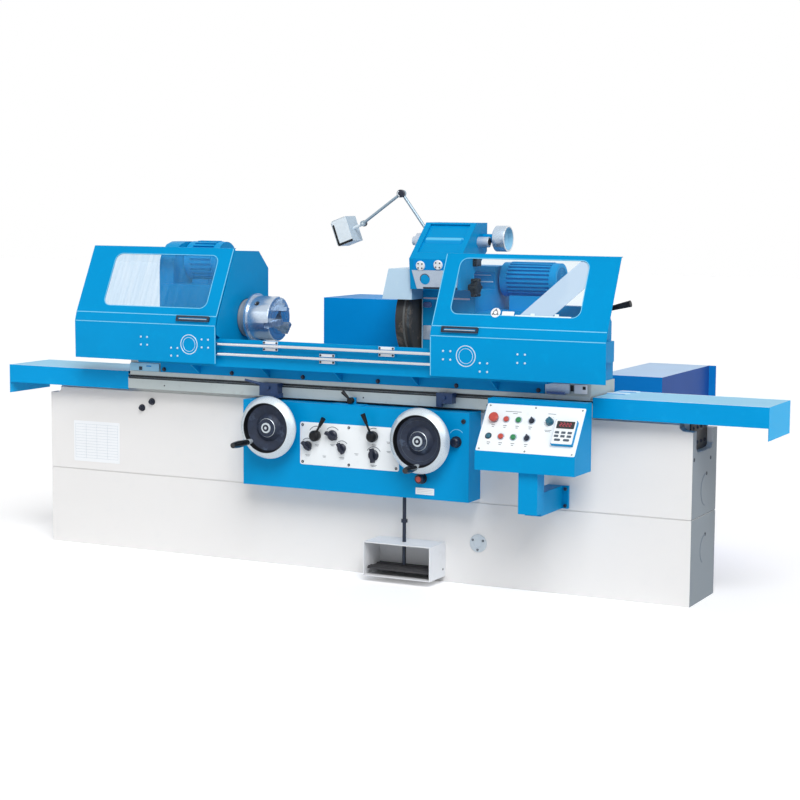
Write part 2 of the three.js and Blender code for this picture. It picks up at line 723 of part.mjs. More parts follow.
function buildPedal() {
  const p = pedal;
  let body = join(
    box(p.left, p.right, p.front, p.axisY, p.under, p.over),
    rodX(p.tube, p.left, p.right, p.axisY, p.axisZ, sides.small),
    rodX(p.pin, pedalBox.left, pedalBox.right, p.axisY, p.axisZ, sides.small),
  );
  const r = pedalRibs;
  for (let i = 0; i < r.count; i += 1) {
    const y = r.from + i * r.pitch;
    if (y + r.width < pedalRod.y - pedalRod.radius || y > pedalRod.y + pedalRod.radius) {
      body = join(body, box(p.left, p.right, y, y + r.width, p.over - gap, p.over + r.height));
    }
  }
  return body;
}

function buildPedalRod() {
  const r = pedalRod;
  return join(
    rodZ(r.radius, r.bottom, r.top, r.x, r.y, sides.small),
    rodZ(r.collar, r.collarFrom, r.collarTo, r.x, r.y, sides.small),
  );
}

// Console

function buildConsole() {
  const c = console_;
  const p = consolePost;
  const a = consoleArm;
  const rear = bed.front - gap;
  const body = join(
    alongX(c.profile, c.left, c.right),
    box(p.left, p.right, p.front, p.rear, p.bottom, p.top),
    box(a.left, a.right, p.front + overrun, rear, p.bottom + overrun, a.top),
    box(a.left, a.right, p.rear, rear, a.bottom, a.top),
    box(a.left, a.padRight, a.padFront, rear, a.bottom, a.top),
    onConsole(box(
      displayUnit.left, displayUnit.right, displayUnit.low, displayUnit.high, -overrun, displayUnit.rise,
    )),
  );
  const bore = (x, row, radius, depth) => onConsole(rodZ(radius + gap, -depth, overrun, x, row, sides.small));
  const holes = [
    ...pushButtons.map((b) => bore(b.x, controlRows[b.row], button.stem, button.depth + button.press + gap)),
    ...selectors.map((s) => bore(s.x, controlRows[s.row], turnKnob.stem, turnKnob.depth + gap)),
    bore(stopButtonAt, controlRows.upper, stopButton.stem, stopButton.depth + stopButton.press + gap),
    bore(speedDialAt, controlRows.upper, dialKnob.stem, dialKnob.depth + gap),
  ];
  return cut(body, ...holes);
}

function onPanel(profile, x, row) {
  return onConsole(turned(profile, sides.small, point(x, row, 0), along.z));
}

function buildButton(b) {
  const s = button;
  const under = s.press + gap;
  return onPanel([
    [0, -s.depth], [s.stem, -s.depth], [s.stem, under], [s.cap, under],
    [s.cap, s.top - s.bevel], [s.cap - s.bevel, s.top], [0, s.top],
  ], b.x, controlRows[b.row]);
}

function buildEmergencyStop() {
  const s = stopButton;
  return onPanel([
    [0, -s.depth], [s.stem, -s.depth], [s.stem, s.press + gap], [s.neck, s.press + gap], [s.neck, s.capFrom],
    [s.cap, s.capFrom], [s.cap, s.top - s.bevel], [s.cap - s.bevel, s.top], [0, s.top],
  ], stopButtonAt, controlRows.upper);
}

function buildTurnKnob(k, x, row) {
  const base = onPanel([
    [0, -k.depth], [k.stem, -k.depth], [k.stem, gap], [k.base, gap], [k.base, k.baseTop],
    [k.crown, k.crownTop], [0, k.crownTop],
  ], x, row);
  const bar = box(
    x - k.barHalf, x + k.barHalf, row - k.barReach, row + k.barReach, k.baseTop - gap, k.barTop,
  );
  return join(base, onConsole(bar));
}

// Splash guard and rails

function buildClip(x, z) {
  const c = clips;
  const face = guard.front;
  const railBack = rails.y + rails.radius + gap;
  return join(
    box(x - c.half, x + c.half, face - c.base, face + gap, z - c.height, z + c.height),
    box(x - c.webLength, x + c.webLength, railBack, face, z - c.webHalf, z + c.webHalf),
  );
}

function bulkheadOutline() {
  const b = bulkhead;
  const line = offsetLine(doorProfile.slice(0, doorProfile.length - 1), b.setback);
  const [low, bend, crease, high] = line;
  const share = (b.top - crease[1]) / (high[1] - crease[1]);
  const peak = [crease[0] + (high[0] - crease[0]) * share, b.top];
  const inner = guard.front + guard.sheet - gap;
  const foot = guard.bottom + gap;
  const start = [low[0], b.foot + b.setback];
  return [[inner, foot], [inner, b.foot], start, bend, crease, peak, ...b.rear];
}

function buildSplashGuard() {
  const g = guard;
  const floor = upperTable.top + gap;
  const flangeBack = lowerTable.front + upperTable.lipDepth;
  let body = join(
    box(g.left, g.right, g.front, g.front + g.sheet, floor, g.top),
    box(g.left, g.right, g.front, flangeBack + g.sheet, floor, g.bottom + g.sheet),
    box(g.flangeLeft, g.flangeRight, lowerTable.front, flangeBack, g.flangeBottom, g.bottom + g.sheet),
  );
  const half = g.gussetThick / 2;
  for (const x of g.gussetAt) body = join(body, alongX(g.gusset, x - half, x + half));
  for (const x of clips.upperAt) body = join(body, buildClip(x, rails.upper));
  for (const x of clips.lowerAt) body = join(body, buildClip(x, rails.lower));
  const b = bulkhead;
  const wall = cut(
    alongX(bulkheadOutline(), b.at - b.thick, b.at),
    rodX(b.hole, b.at - b.thick - overrun, b.at + overrun, axis.y, axis.z, sides.large),
  );
  return join(body, wall);
}

// Doors

function buildSlider(x, z) {
  const s = slider;
  const front = doorProfile[0][0] + doorSheet - s.webInto;
  const block = box(x - s.half, x + s.half, front, s.rear, z - s.tall, z + s.tall);
  return cut(
    block,
    rodX(s.bore, x - s.half - overrun, x + s.half + overrun, rails.y, z, sides.small),
    box(x - s.half - overrun, x + s.half + overrun, rails.y, s.rear + overrun, z - s.mouth, z + s.mouth),
  );
}

function buildDoorGrip([left, right]) {
  const g = doorGrip;
  const middle = (g.bottom + g.top) / 2;
  const [low, high] = [doorProfile[1], doorProfile[2]];
  const at = (z) => low[0] + (high[0] - low[0]) * (z - low[1]) / (high[1] - low[1]);
  const bar = alongX([
    [at(g.bottom) - g.proud, g.bottom], [at(g.bottom) + gap, g.bottom],
    [at(g.top) + gap, g.top], [at(g.top) - g.proud, g.top],
  ], left, right);
  const groove = box(
    left + g.proud, right - g.proud, at(middle) - g.proud - overrun, at(middle) - g.slot + gap,
    middle - g.slot, middle + g.slot,
  );
  return cut(bar, groove);
}

function buildDoor(d) {
  const inner = offsetLine(doorProfile, doorSheet);
  let body = alongX([...doorProfile, ...inner.reverse()], d.left, d.right);
  for (const x of d.upperSliders) body = join(body, buildSlider(x, rails.upper));
  for (const x of d.lowerSliders) body = join(body, buildSlider(x, rails.lower));
  const opening = alongZ(rounded(...d.window, windowCorner), -doorSheet - overrun, overrun);
  return join(cut(body, onDoorSlope(opening)), buildDoorGrip(d.grip));
}

function buildPane(d) {
  const [left, right, low, high] = d.window;
  const outline = rounded(left - paneLap, right + paneLap, low - paneLap, high + paneLap, windowCorner);
  const back = -doorSheet - gap;
  return onDoorSlope(alongZ(outline, back - paneThick, back));
}

// Workhead side

function finnedOutline(radius, y, z) {
  const points = [];
  const step = 2 * Math.PI / fins.count;
  for (let i = 0; i < fins.count; i += 1) {
    const tip = [i * step, (i + fins.share) * step];
    const root = [(i + fins.share) * step, (i + 1) * step];
    for (const turn of tip) points.push([y + radius * Math.cos(turn), z + radius * Math.sin(turn)]);
    const low = radius - fins.depth;
    for (const turn of root) points.push([y + low * Math.cos(turn), z + low * Math.sin(turn)]);
  }
  return points;
}

function buildMotor(m, feetBottom) {
  const bell = m.radius * fins.bell;
  return join(
    alongX(finnedOutline(m.radius, m.y, m.z), m.left + fins.bellLength, m.right - fins.bellLength),
    rodX(bell, m.left, m.left + fins.bellLength, m.y, m.z, sides.medium),
    rodX(bell, m.right - fins.bellLength, m.right, m.y, m.z, sides.medium),
    box(m.left + fins.feetInset, m.right - fins.feetInset, m.feetFront, m.feetRear, feetBottom, m.feetTop),
    box(m.boxLeft, m.boxRight, m.boxFront, m.boxRear, m.boxLow, m.boxHigh),
  );
}

function buildWorkhead() {
  const w = workhead;
  const floor = upperTable.top + gap;
  const body = join(
    box(w.baseLeft, w.baseRight, w.baseFront, w.baseRear, floor, w.baseTop),
    box(w.left, w.right, w.front, w.rear, w.baseTop - overrun, w.top),
    box(
      w.coverRight - overrun, workMotor.right, workMotor.feetFront, workMotor.feetRear,
      w.top - w.shelf, w.top,
    ),
    alongX(w.cover, w.coverLeft, w.coverRight),
    rodX(w.nose, w.right - overrun, chuck.back - gap, axis.y, axis.z, sides.medium),
  );
  const bore = rodX(w.shaft + gap, w.shaftEnd - overrun, chuck.back + overrun, axis.y, axis.z, sides.medium);
  return cut(body, bore);
}

function aroundAxis(body, degrees) {
  return body.rotate([degrees, 0, 0]).translate([0, axis.y, axis.z]);
}

function buildChuck() {
  const c = chuck;
  const body = turned([
    [0, workhead.shaftEnd], [workhead.shaft, workhead.shaftEnd],
    [workhead.shaft, c.back], [c.plateRadius, c.back],
    [c.plateRadius, c.plate], [c.radius, c.plate], [c.radius, c.face - c.bevel], [c.radius - c.bevel, c.face],
    [c.bore, c.face], [c.bore, c.face - c.boreDepth], [0, c.face - c.boreDepth],
  ], sides.large, point(0, 0, 0), along.x);
  const half = jawSlot.halfWidth + gap;
  const slot = box(c.face - jawSlot.depth, c.face + overrun, jawSlot.inner, c.radius + overrun, -half, half);
  const key = rodY(c.keyRadius, c.radius - c.keyDepth, c.radius + overrun, c.keyAlong, 0, sides.tiny);
  const cuts = jaw.turns.map((turn) => slot.rotate([turn, 0, 0]));
  cuts.push(...jaw.turns.map((turn) => key.rotate([turn - c.keyTurn / 2, 0, 0])));
  return cut(body, ...cuts).translate([0, axis.y, axis.z]);
}

function buildJaw(turn) {
  const j = jaw;
  const half = jawSlot.halfWidth;
  const back = chuck.face - jawSlot.depth + gap;
  let outline = [[j.inner, back], [j.outer, back]];
  let edge = j.outer;
  for (const [radius, rise] of j.steps) {
    outline = [...outline, [edge, chuck.face + rise], [radius, chuck.face + rise]];
    edge = radius;
  }
  outline = [...outline, [edge, chuck.face + j.top], [j.inner, chuck.face + j.top]];
  const body = alongZ(outline.map(([radius, x]) => [x, radius]), -half, half);
  return aroundAxis(body, turn);
}

function buildTailstock() {
  const t = tailstock;
  const floor = upperTable.top + gap;
  const profile = [
    [t.front, floor], [t.front, t.shoulder], [t.front + t.top - t.shoulder, t.top],
    [t.rear - t.top + t.shoulder, t.top], [t.rear, t.shoulder], [t.rear, floor],
  ];
  const body = join(
    alongX(profile, t.left, t.right),
    box(t.left, t.right, t.footFront, t.footRear, floor, t.footTop),
    box(t.right - overrun, t.capRight, t.capFront, t.capRear, t.capBottom, t.capTop),
    rodY(tailLever.hub, t.front - gap, t.rear, tailLever.x, tailLever.z, sides.small),
  );
  return cut(
    body,
    rodX(quill.radius + gap, t.left - overrun, quill.boreEnd, axis.y, axis.z, sides.medium),
    rodY(
      tailLever.shaft + gap, t.front - overrun, t.front + boreDepth,
      tailLever.x, tailLever.z, sides.small,
    ),
  );
}

function buildQuill() {
  const q = quill;
  return turned([
    [0, q.tip], [q.tipRadius, q.left], [q.radius, q.left], [q.radius, q.right], [0, q.right],
  ], sides.medium, point(0, axis.y, axis.z), along.x);
}

function buildTailLever() {
  const l = tailLever;
  const hubRear = tailstock.front - gap - gap;
  const from = point(l.x, l.tip[1], l.z);
  const to = point(...l.tip);
  const bend = from.clone().lerp(to, 1 - l.gripShare * 2);
  return join(
    rodY(l.hub, l.hubFront, hubRear, l.x, l.z, sides.small),
    rodY(l.shaft, hubRear - overrun, tailstock.front + boreDepth - gap, l.x, l.z, sides.small),
    taper(from, bend.clone().lerp(to, l.gripShare), l.thin, l.thin, sides.tiny),
    taper(bend, to, l.gripThin, l.gripThick, sides.tiny),
  );
}

// Wheelhead side

function buildCrossSlide() {
  const c = crossSlide;
  const bottom = bed.deck + gap;
  return join(
    box(c.left, c.right, c.front, c.rear, bottom, c.top),
    box(c.left, c.left + c.skirtWidth, c.front, c.rear, c.skirtBottom, bottom + overrun),
    box(c.right - c.skirtWidth, c.right, c.front, c.rear, c.skirtBottom, bottom + overrun),
    rodZ(c.discRadius, c.top - overrun, c.discTop, c.turnX, c.turnY, sides.large),
  );
}

function buildWheelhead() {
  const w = wheelhead;
  const floor = crossSlide.discTop + gap;
  const outline = (top) => [[w.setback, floor], [w.rear, floor], [w.rear, top], [w.front, top],
    [w.front, w.step], [w.setback, w.step]];
  const lug = join(
    rodX(w.lugRadius, w.lugLeft, w.lugRight, armHinge.y, armHinge.z, sides.small),
    alongX([...w.lugFoot].reverse(), w.lugLeft, w.lugRight),
  );
  const postY = (lamp.planeRear + lamp.stackRear + gap) / 2;
  const post = join(
    rodZ(w.postRadius, w.top - overrun, w.postShoulder, w.postX, postY, sides.tiny),
    rodZ(w.neckRadius, w.top, w.postTop, w.postX, postY, sides.tiny),
    rodY(lamp.knuckle, lamp.planeRear + gap, lamp.stackRear, ...lamp.base, sides.small),
  );
  const body = join(
    alongX(outline(w.top), w.left, w.motorFrom),
    alongX(outline(w.motorDeck), w.motorFrom - overrun, w.right),
    alongX(w.housing, w.housingLeft, w.motorFrom),
    box(w.right - overrun, w.shelfRight, w.shelfFront, w.shelfRear, w.shelfBottom, w.motorDeck),
    lug,
    post,
  );
  return cut(
    body,
    rodX(wheel.spindle + gap, w.left - overrun, wheel.spindleEnd + gap, wheel.y, wheel.z, sides.medium),
    rodX(armHinge.pin + gap, w.lugLeft - overrun, w.lugRight + overrun, armHinge.y, armHinge.z, sides.small),
    rodY(lamp.pin + gap, lamp.planeRear - overrun, lamp.stackRear + overrun, ...lamp.base, sides.tiny),
  );
}

function buildGrindingWheel() {
  const w = wheel;
  return turned([
    [0, w.hubEnd], [w.hubTop, w.hubEnd], [w.hub, w.hubShoulder], [w.hub, w.flangeLeft],
    [w.flange, w.flangeLeft], [w.flange, w.left], [w.radius - w.bevel, w.left],
    [w.radius, w.left + w.bevel], [w.radius, w.right - w.bevel],
    [w.radius - w.bevel, w.right], [w.flange, w.right], [w.flange, w.flangeRight], [w.spindle, w.flangeRight],
    [w.spindle, w.spindleEnd], [0, w.spindleEnd],
  ], sides.large, point(0, w.y, w.z), along.x);
}

function buildHood() {
  const h = hood;
  const right = wheelhead.left - gap;
  const inRight = right - h.wall;
  const inLeft = h.left + h.wall;
  const outside = [[h.left, h.top], [right, h.top], [right, h.mouth], [h.flare, h.mouth]];
  const outer = join(
    alongY(outside, h.front, h.joint + h.wall),
    box(h.left, right, h.joint, h.rear, h.bottom, h.top),
  );
  const low = h.mouth - overrun;
  const slant = h.flare + h.wall;
  const roof = h.top - h.wall;
  const inside = [[inLeft, roof], [inRight, roof], [inRight, low], [slant, low]];
  return cut(
    outer,
    alongY(inside, h.front + h.wall, h.joint),
    box(inLeft, inRight, h.joint - overrun, h.rear - h.wall, h.bottom - overrun, h.top - h.wall),
    rodX(h.hubHole, h.flare, inLeft + overrun, wheel.y, wheel.z, sides.medium),
    rodX(h.spindleHole, inRight - overrun, right + overrun, wheel.y, wheel.z, sides.medium),
  );
}

function buildInternalArm() {
  const a = internalArm;
  const s = internalSpindle;
  const c = a.cup;
  const margin = a.notchMargin;
  const body = cut(
    alongX([...a.profile].reverse(), a.left, a.right),
    box(
      wheelhead.lugLeft - margin, wheelhead.lugRight + margin, a.notchFront, a.profile[5][0] + overrun,
      a.profile[0][1] - overrun, a.notchTop,
    ),
    alongX(a.recess, a.left + a.recessEdge, a.right - a.recessEdge),
    rodX(s.shaft + gap, a.left - overrun, a.right + overrun, s.y, s.z, sides.medium),
  );
  const [pinLeft, pinRight] = [a.left + a.recessEdge, a.right - a.recessEdge];
  const pin = rodX(armHinge.pin, pinLeft, pinRight, armHinge.y, armHinge.z, sides.small);
  const cup = turned([
    [0, a.right - overrun], [c.tube, a.right - overrun], [c.tube, c.from], [c.radius, c.from + c.neck],
    [c.radius, c.to], [c.radius - c.wall, c.to], [c.radius - c.wall, c.from + c.neck + c.wall],
    [c.tube, c.from + c.wall + c.wall], [0, c.from + c.wall + c.wall],
  ], sides.medium, point(0, c.y, c.z), along.x);
  return join(body, pin, cup);
}

function buildInternalSpindle() {
  const s = internalSpindle;
  return turned([
    [0, s.noseLeft], [s.noseSmall, s.noseLeft], [s.noseSmall, s.noseStep], [s.nose, s.noseStep],
    [s.nose, internalArm.left - gap], [s.shaft, internalArm.left - gap], [s.shaft, internalArm.right + gap],
    [s.rightRadius, internalArm.right + gap], [s.rightRadius, s.right], [0, s.right],
  ], sides.medium, point(0, s.y, s.z), along.x);
}

// Lamp

function lampPoint([x, z], y) {
  return point(x, y, z);
}

function buildLampLowerArm() {
  const l = lamp;
  const middle = (l.planeFront + l.planeRear) / 2;
  const body = join(
    taper(lampPoint(l.base, middle), lampPoint(l.elbow, middle), l.rod, l.rod, sides.small),
    rodY(l.knuckle, l.planeFront, l.planeRear, ...l.base, sides.small),
    rodY(l.pin, l.planeFront, l.stackRear, ...l.base, sides.tiny),
    rodY(l.elbowKnuckle, l.planeFront, l.planeRear, ...l.elbow, sides.small),
  );
  return cut(body, rodY(l.pin + gap, l.planeFront - overrun, l.planeRear + overrun, ...l.elbow, sides.tiny));
}

function buildLampUpperArm() {
  const l = lamp;
  const rear = l.planeFront - gap;
  const middle = (l.upperFront + rear) / 2;
  const body = join(
    taper(lampPoint(l.elbow, middle), lampPoint(l.wrist, middle), l.upperRod, l.upperRod, sides.small),
    rodY(l.elbowKnuckle, l.upperFront, rear, ...l.elbow, sides.small),
    rodY(l.pin, l.upperFront, l.planeRear, ...l.elbow, sides.tiny),
    rodY(l.wristKnuckle, l.upperFront, rear, ...l.wrist, sides.small),
  );
  return cut(body, rodY(l.pin + gap, l.upperFront - overrun, rear + overrun, ...l.wrist, sides.tiny));
}

function buildLampHead() {
  const l = lamp;
  const [x, z] = l.head;
  const wide = l.headHalfWidth;
  const tall = l.headHalfHeight;
  const casing = box(-wide, wide, l.headFront, l.headRear, -tall, tall);
  const lens = box(
    -wide - l.lensProud, -wide + overrun, l.headFront + l.lensInset, l.headRear - l.lensInset,
    -tall + l.lensInset, tall - l.lensInset,
  );
  const head = join(casing, lens).rotate([0, -l.headTurn, 0]).translate([x, 0, z]);
  const middle = (l.planeFront + l.planeRear) / 2;
  const thick = l.bracket - gap;
  return join(
    head,
    rodY(l.wristKnuckle, l.planeFront, l.planeRear, ...l.wrist, sides.small),
    rodY(l.pin, l.upperFront, l.planeRear, ...l.wrist, sides.tiny),
    taper(lampPoint(l.wrist, middle), lampPoint(l.head, middle), thick, thick, sides.tiny),
  );
}

// Cabinets

function buildCabinet() {
  const c = cabinet;
  const floor = rearBed.top + gap;
  const body = box(c.left, c.right, c.front, c.rear, floor, c.top);
  const panel = box(
    c.left + c.lipInset, c.right - c.lipInset, c.rear - overrun, c.rear + c.lip,
    floor + c.lipInset, c.top - c.lipInset,
  );
  return join(body, panel);
}

function buildTank() {
  const t = tank;
  const left = t.left + gap;
  const body = join(
    box(left, t.right, t.front, t.rear, 0, t.top),
    box(t.right - overrun, t.flangeRight, t.rear - t.flangeThick, t.rear, t.flangeBottom, t.top),
  );
  const inside = box(
    left + t.wall, t.right - t.wall, t.front + t.wall, t.rear - t.wall, -overrun, t.top - t.wall,
  );
  return cut(body, inside);
}

// Assembly

function meshOf(name, body, paint) {
  const data = body.getMesh();
  const geometry = new THREE.BufferGeometry();
  geometry.setAttribute('position', new THREE.BufferAttribute(new Float32Array(data.vertProperties), 3));
  geometry.setIndex(new THREE.BufferAttribute(new Uint32Array(data.triVerts), 1));
  geometry.computeVertexNormals();
  const [color, roughness, metalness] = paints[paint];
  const mesh = new THREE.Mesh(geometry, new THREE.MeshStandardMaterial({ color, roughness, metalness }));
  mesh.name = name;
  return mesh;
}

const machine = new THREE.Group();
machine.name = 'cylindrical_grinder';

function place(name, body, paint) {
  machine.add(meshOf(name, body, paint));
}

place('bed', buildBed(), 'white');
place('electric_cabinet', buildCabinet(), 'blue');
place('hydraulic_tank', buildTank(), 'blue');
place('apron', buildApron(), 'blue');
place('traverse_handwheel', buildHandwheel(traverseWheel), 'steel');
place('infeed_handwheel', buildHandwheel(infeedWheel), 'steel');
place('traverse_lever', buildLever(traverseLever), 'black');
place('feed_lever', buildLever(feedLever), 'black');
for (const knob of apronKnobs) place(knob.name, buildPointerKnob(knob), 'navy');
place('infeed_stop_knob', buildRoundKnob(stopKnob), 'navy');
place('fine_feed_knob', buildRoundKnob(fineKnob), 'navy');
place('reversing_lever', buildReversingLever(), 'black');
place('pedal_housing', buildPedalHousing(), 'blue');
place('foot_pedal', buildPedal(), 'black');
place('pedal_rod', buildPedalRod(), 'steel');
place('console', buildConsole(), 'blue');
place('emergency_stop', buildEmergencyStop(), 'red');
for (const b of pushButtons) place(b.name, buildButton(b), b.colour);
for (const s of selectors) place(s.name, buildTurnKnob(turnKnob, s.x, controlRows[s.row]), 'navy');
place('speed_dial', buildTurnKnob(dialKnob, speedDialAt, controlRows.upper), 'teal');
place('lower_table', buildLowerTable(), 'steel');
place('piston_rod', buildPistonRod(), 'chrome');
place('dog_left', buildDogLeft(), 'navy');
place('dog_right', buildDog(dogRight), 'navy');
place('tray_left', buildTray(lowerTable.left - gap, trayLeftEnd), 'blue');
place('tray_right', buildTray(lowerTable.right + gap, trayRightEnd), 'blue');
place('upper_table', buildUpperTable(), 'steel');
place('splash_guard', buildSplashGuard(), 'blue');
place('rail_upper', rodX(rails.radius, rails.left, rails.right, rails.y, rails.upper, sides.small), 'chrome');
place('rail_lower', rodX(rails.radius, rails.left, rails.right, rails.y, rails.lower, sides.small), 'chrome');
place('door_left', buildDoor(doors.left), 'blue');
place('window_left', buildPane(doors.left), 'glass');
place('door_right', buildDoor(doors.right), 'blue');
place('window_right', buildPane(doors.right), 'glass');
place('workhead', buildWorkhead(), 'blue');
place('workhead_motor', buildMotor(workMotor, workhead.top + gap), 'blue');
place('chuck', buildChuck(), 'steel');
jaw.turns.forEach((turn, i) => place(`jaw_${i + 1}`, buildJaw(turn), 'castGrey'));
place('tailstock', buildTailstock(), 'blue');
place('quill', buildQuill(), 'steel');
place('tailstock_lever', buildTailLever(), 'black');
place('cross_slide', buildCrossSlide(), 'castGrey');
place('wheelhead', buildWheelhead(), 'blue');
place('wheel_motor', buildMotor(wheelMotor, wheelhead.motorDeck + gap), 'blue');
place('wheel_guard', buildHood(), 'white');
place('grinding_wheel', buildGrindingWheel(), 'stone');
place('internal_arm', buildInternalArm(), 'blue');
place('internal_spindle', buildInternalSpindle(), 'steel');
place('lamp_lower_arm', buildLampLowerArm(), 'chrome');
place('lamp_upper_arm', buildLampUpperArm(), 'chrome');
place('lamp_head', buildLampHead(), 'white');

export default machine;
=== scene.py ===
import math

import bmesh
import bpy
from mathutils import Matrix, Vector


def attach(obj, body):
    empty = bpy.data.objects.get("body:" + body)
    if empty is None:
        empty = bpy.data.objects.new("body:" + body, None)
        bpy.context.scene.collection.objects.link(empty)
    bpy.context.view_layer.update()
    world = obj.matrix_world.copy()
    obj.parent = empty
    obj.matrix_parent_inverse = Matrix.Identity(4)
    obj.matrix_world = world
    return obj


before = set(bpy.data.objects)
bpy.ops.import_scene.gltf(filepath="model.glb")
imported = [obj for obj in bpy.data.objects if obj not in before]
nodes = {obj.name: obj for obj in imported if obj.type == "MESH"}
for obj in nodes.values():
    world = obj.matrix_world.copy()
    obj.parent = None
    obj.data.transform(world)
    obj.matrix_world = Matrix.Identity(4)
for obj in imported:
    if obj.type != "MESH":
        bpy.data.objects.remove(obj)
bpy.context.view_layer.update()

# Camera, from the lines of the photo: its place in metres, its turns in degrees
CAMERA_PLACE = (3.878, -7.399, 1.650)
HEADING, TILT, ROLL = 26.52, 83.78, 0.368
camera_data = bpy.data.cameras.new("camera")
camera_data.sensor_width = 36
camera_data.lens = 85.61
camera_data.clip_start = 0.1
camera_data.clip_end = 60
camera = bpy.data.objects.new("camera", camera_data)
bpy.context.scene.collection.objects.link(camera)
bpy.context.scene.camera = camera
camera_turn = (Matrix.Rotation(math.radians(HEADING), 4, "Z")
               @ Matrix.Rotation(math.radians(TILT), 4, "X")
               @ Matrix.Rotation(math.radians(ROLL), 4, "Z"))
camera.matrix_world = Matrix.Translation(CAMERA_PLACE) @ camera_turn


# Shader nodes
def plug(tree, socket, value):
    """Connects a socket to another one, or gives it a plain value."""
    if isinstance(value, bpy.types.NodeSocket):
        tree.links.new(value, socket)
    else:
        socket.default_value = value


def node(tree, kind, **inputs):
    """A new node; in the names of its inputs an underscore stands for a space."""
    made = tree.nodes.new(kind)
    for name, value in inputs.items():
        plug(tree, made.inputs[name.replace("_", " ")], value)
    return made


def calculated(tree, operation, *values):
    made = tree.nodes.new("ShaderNodeMath")
    made.operation = operation
    for socket, value in zip(made.inputs, values):
        plug(tree, socket, value)
    return made.outputs["Value"]


def ranged(tree, value, low, high, to_low, to_high):
    made = node(tree, "ShaderNodeMapRange", Value=value, From_Min=low, From_Max=high,
                To_Min=to_low, To_Max=to_high)
    return made.outputs["Result"]


def mixed(tree, factor, first, second):
    made = tree.nodes.new("ShaderNodeMix")
    made.data_type = "RGBA"
    factor_socket, first_socket, second_socket = (made.inputs[n] for n in (0, 6, 7))
    plug(tree, factor_socket, factor)
    plug(tree, first_socket, first)
    plug(tree, second_socket, second)
    return made.outputs[2]


def noise(tree, coords, scale, detail, roughness, stretch=None):
    if stretch:
        coords = node(tree, "ShaderNodeMapping", Vector=coords, Scale=stretch).outputs["Vector"]
    made = node(tree, "ShaderNodeTexNoise", Vector=coords, Scale=scale, Detail=detail, Roughness=roughness)
    return made.outputs["Fac"]


def object_coords(tree):
    return tree.nodes.new("ShaderNodeTexCoord").outputs["Object"]


def new_material(name):
    made = bpy.data.materials.new(name)
    made.use_nodes = True
    return made, made.node_tree, made.node_tree.nodes["Principled BSDF"]


def srgb(red, green, blue):
    def linear(value):
        value /= 255
        return value / 12.92 if value <= 0.04045 else ((value + 0.055) / 1.055) ** 2.4
    return (linear(red), linear(green), linear(blue), 1.0)


def shaded(colour, factor):
    return tuple(min(1.0, c * factor) for c in colour[:3]) + (1.0,)


# Nearly all values of a noise texture lie between these two
NOISE_LOW, NOISE_HIGH = 0.3, 0.7
# Wear shows where its noise passes the first value, in full from the second
WEAR_START, WEAR_FULL = 0.56, 0.68
# Painted light and shade: a side takes a lighter or darker colour as the normal turns to that axis, in full
# from the second value
SIDE_START, SIDE_FULL = 0.5, 0.7
GRAIN_DEPTH = 0.0006
COAT_ROUGHNESS = 0.12


def finish(name, colour, rough, metallic=0.0, coat=0.0, shine=0.5, spread=0.1, patch=3.0, grain=900.0,
           stretch=None, bump=0.05, wear=None, wear_amount=0.0, round_edges=0.0, sides=None):
    """Slow colour patches, fine grain in roughness and relief, some wear, and painted light and shade: other
    colours on chosen sides.
    """
    made, tree, shader = new_material(name)
    coords = object_coords(tree)
    patches = ranged(tree, noise(tree, coords, patch, 5.0, 0.6), NOISE_LOW, NOISE_HIGH, 0.0, 1.0)

    def patched(shade):
        return mixed(tree, patches, shaded(shade, 1 - spread), shaded(shade, 1 + spread * 0.5))

    fine = noise(tree, coords, grain, 3.0, 0.6, stretch)
    flecks = ranged(tree, fine, 0.35, 0.65, 0.0, 0.25)
    tone = mixed(tree, flecks, patched(srgb(*colour)), shaded(srgb(*colour), 1 - spread))
    if wear:
        marks = noise(tree, coords, 14.0, 8.0, 0.7)
        tone = mixed(tree, ranged(tree, marks, WEAR_START, WEAR_FULL, 0.0, wear_amount), tone, srgb(*wear))
    # Painted light and shade: a lighter or darker colour on the sides that face the chosen axes
    for axis, painted_light_colour in (sides or {}).items():
        normal = tree.nodes.new("ShaderNodeNewGeometry").outputs["Normal"]
        facing = node(tree, "ShaderNodeSeparateXYZ", Vector=normal).outputs[axis]
        share = ranged(tree, facing, SIDE_START, SIDE_FULL, 0.0, 1.0)
        tone = mixed(tree, share, tone, patched(srgb(*painted_light_colour)))
    relief = node(tree, "ShaderNodeBump", Strength=bump, Distance=GRAIN_DEPTH, Height=fine)
    if round_edges:
        soft = node(tree, "ShaderNodeBevel", Radius=round_edges)
        soft.samples = 4
        plug(tree, relief.inputs["Normal"], soft.outputs["Normal"])
    grains = ranged(tree, fine, NOISE_LOW, NOISE_HIGH, 0.0, 1.0)
    roughness = ranged(tree, grains, 0.0, 1.0, max(0.03, rough - 0.07), min(1.0, rough + 0.09))
    for socket, value in (("Metallic", metallic), ("Coat Weight", coat), ("Coat Roughness", COAT_ROUGHNESS),
                          ("Specular IOR Level", shine), ("Base Color", tone), ("Roughness", roughness),
                          ("Normal", relief.outputs["Normal"])):
        plug(tree, shader.inputs[socket], value)
    return made


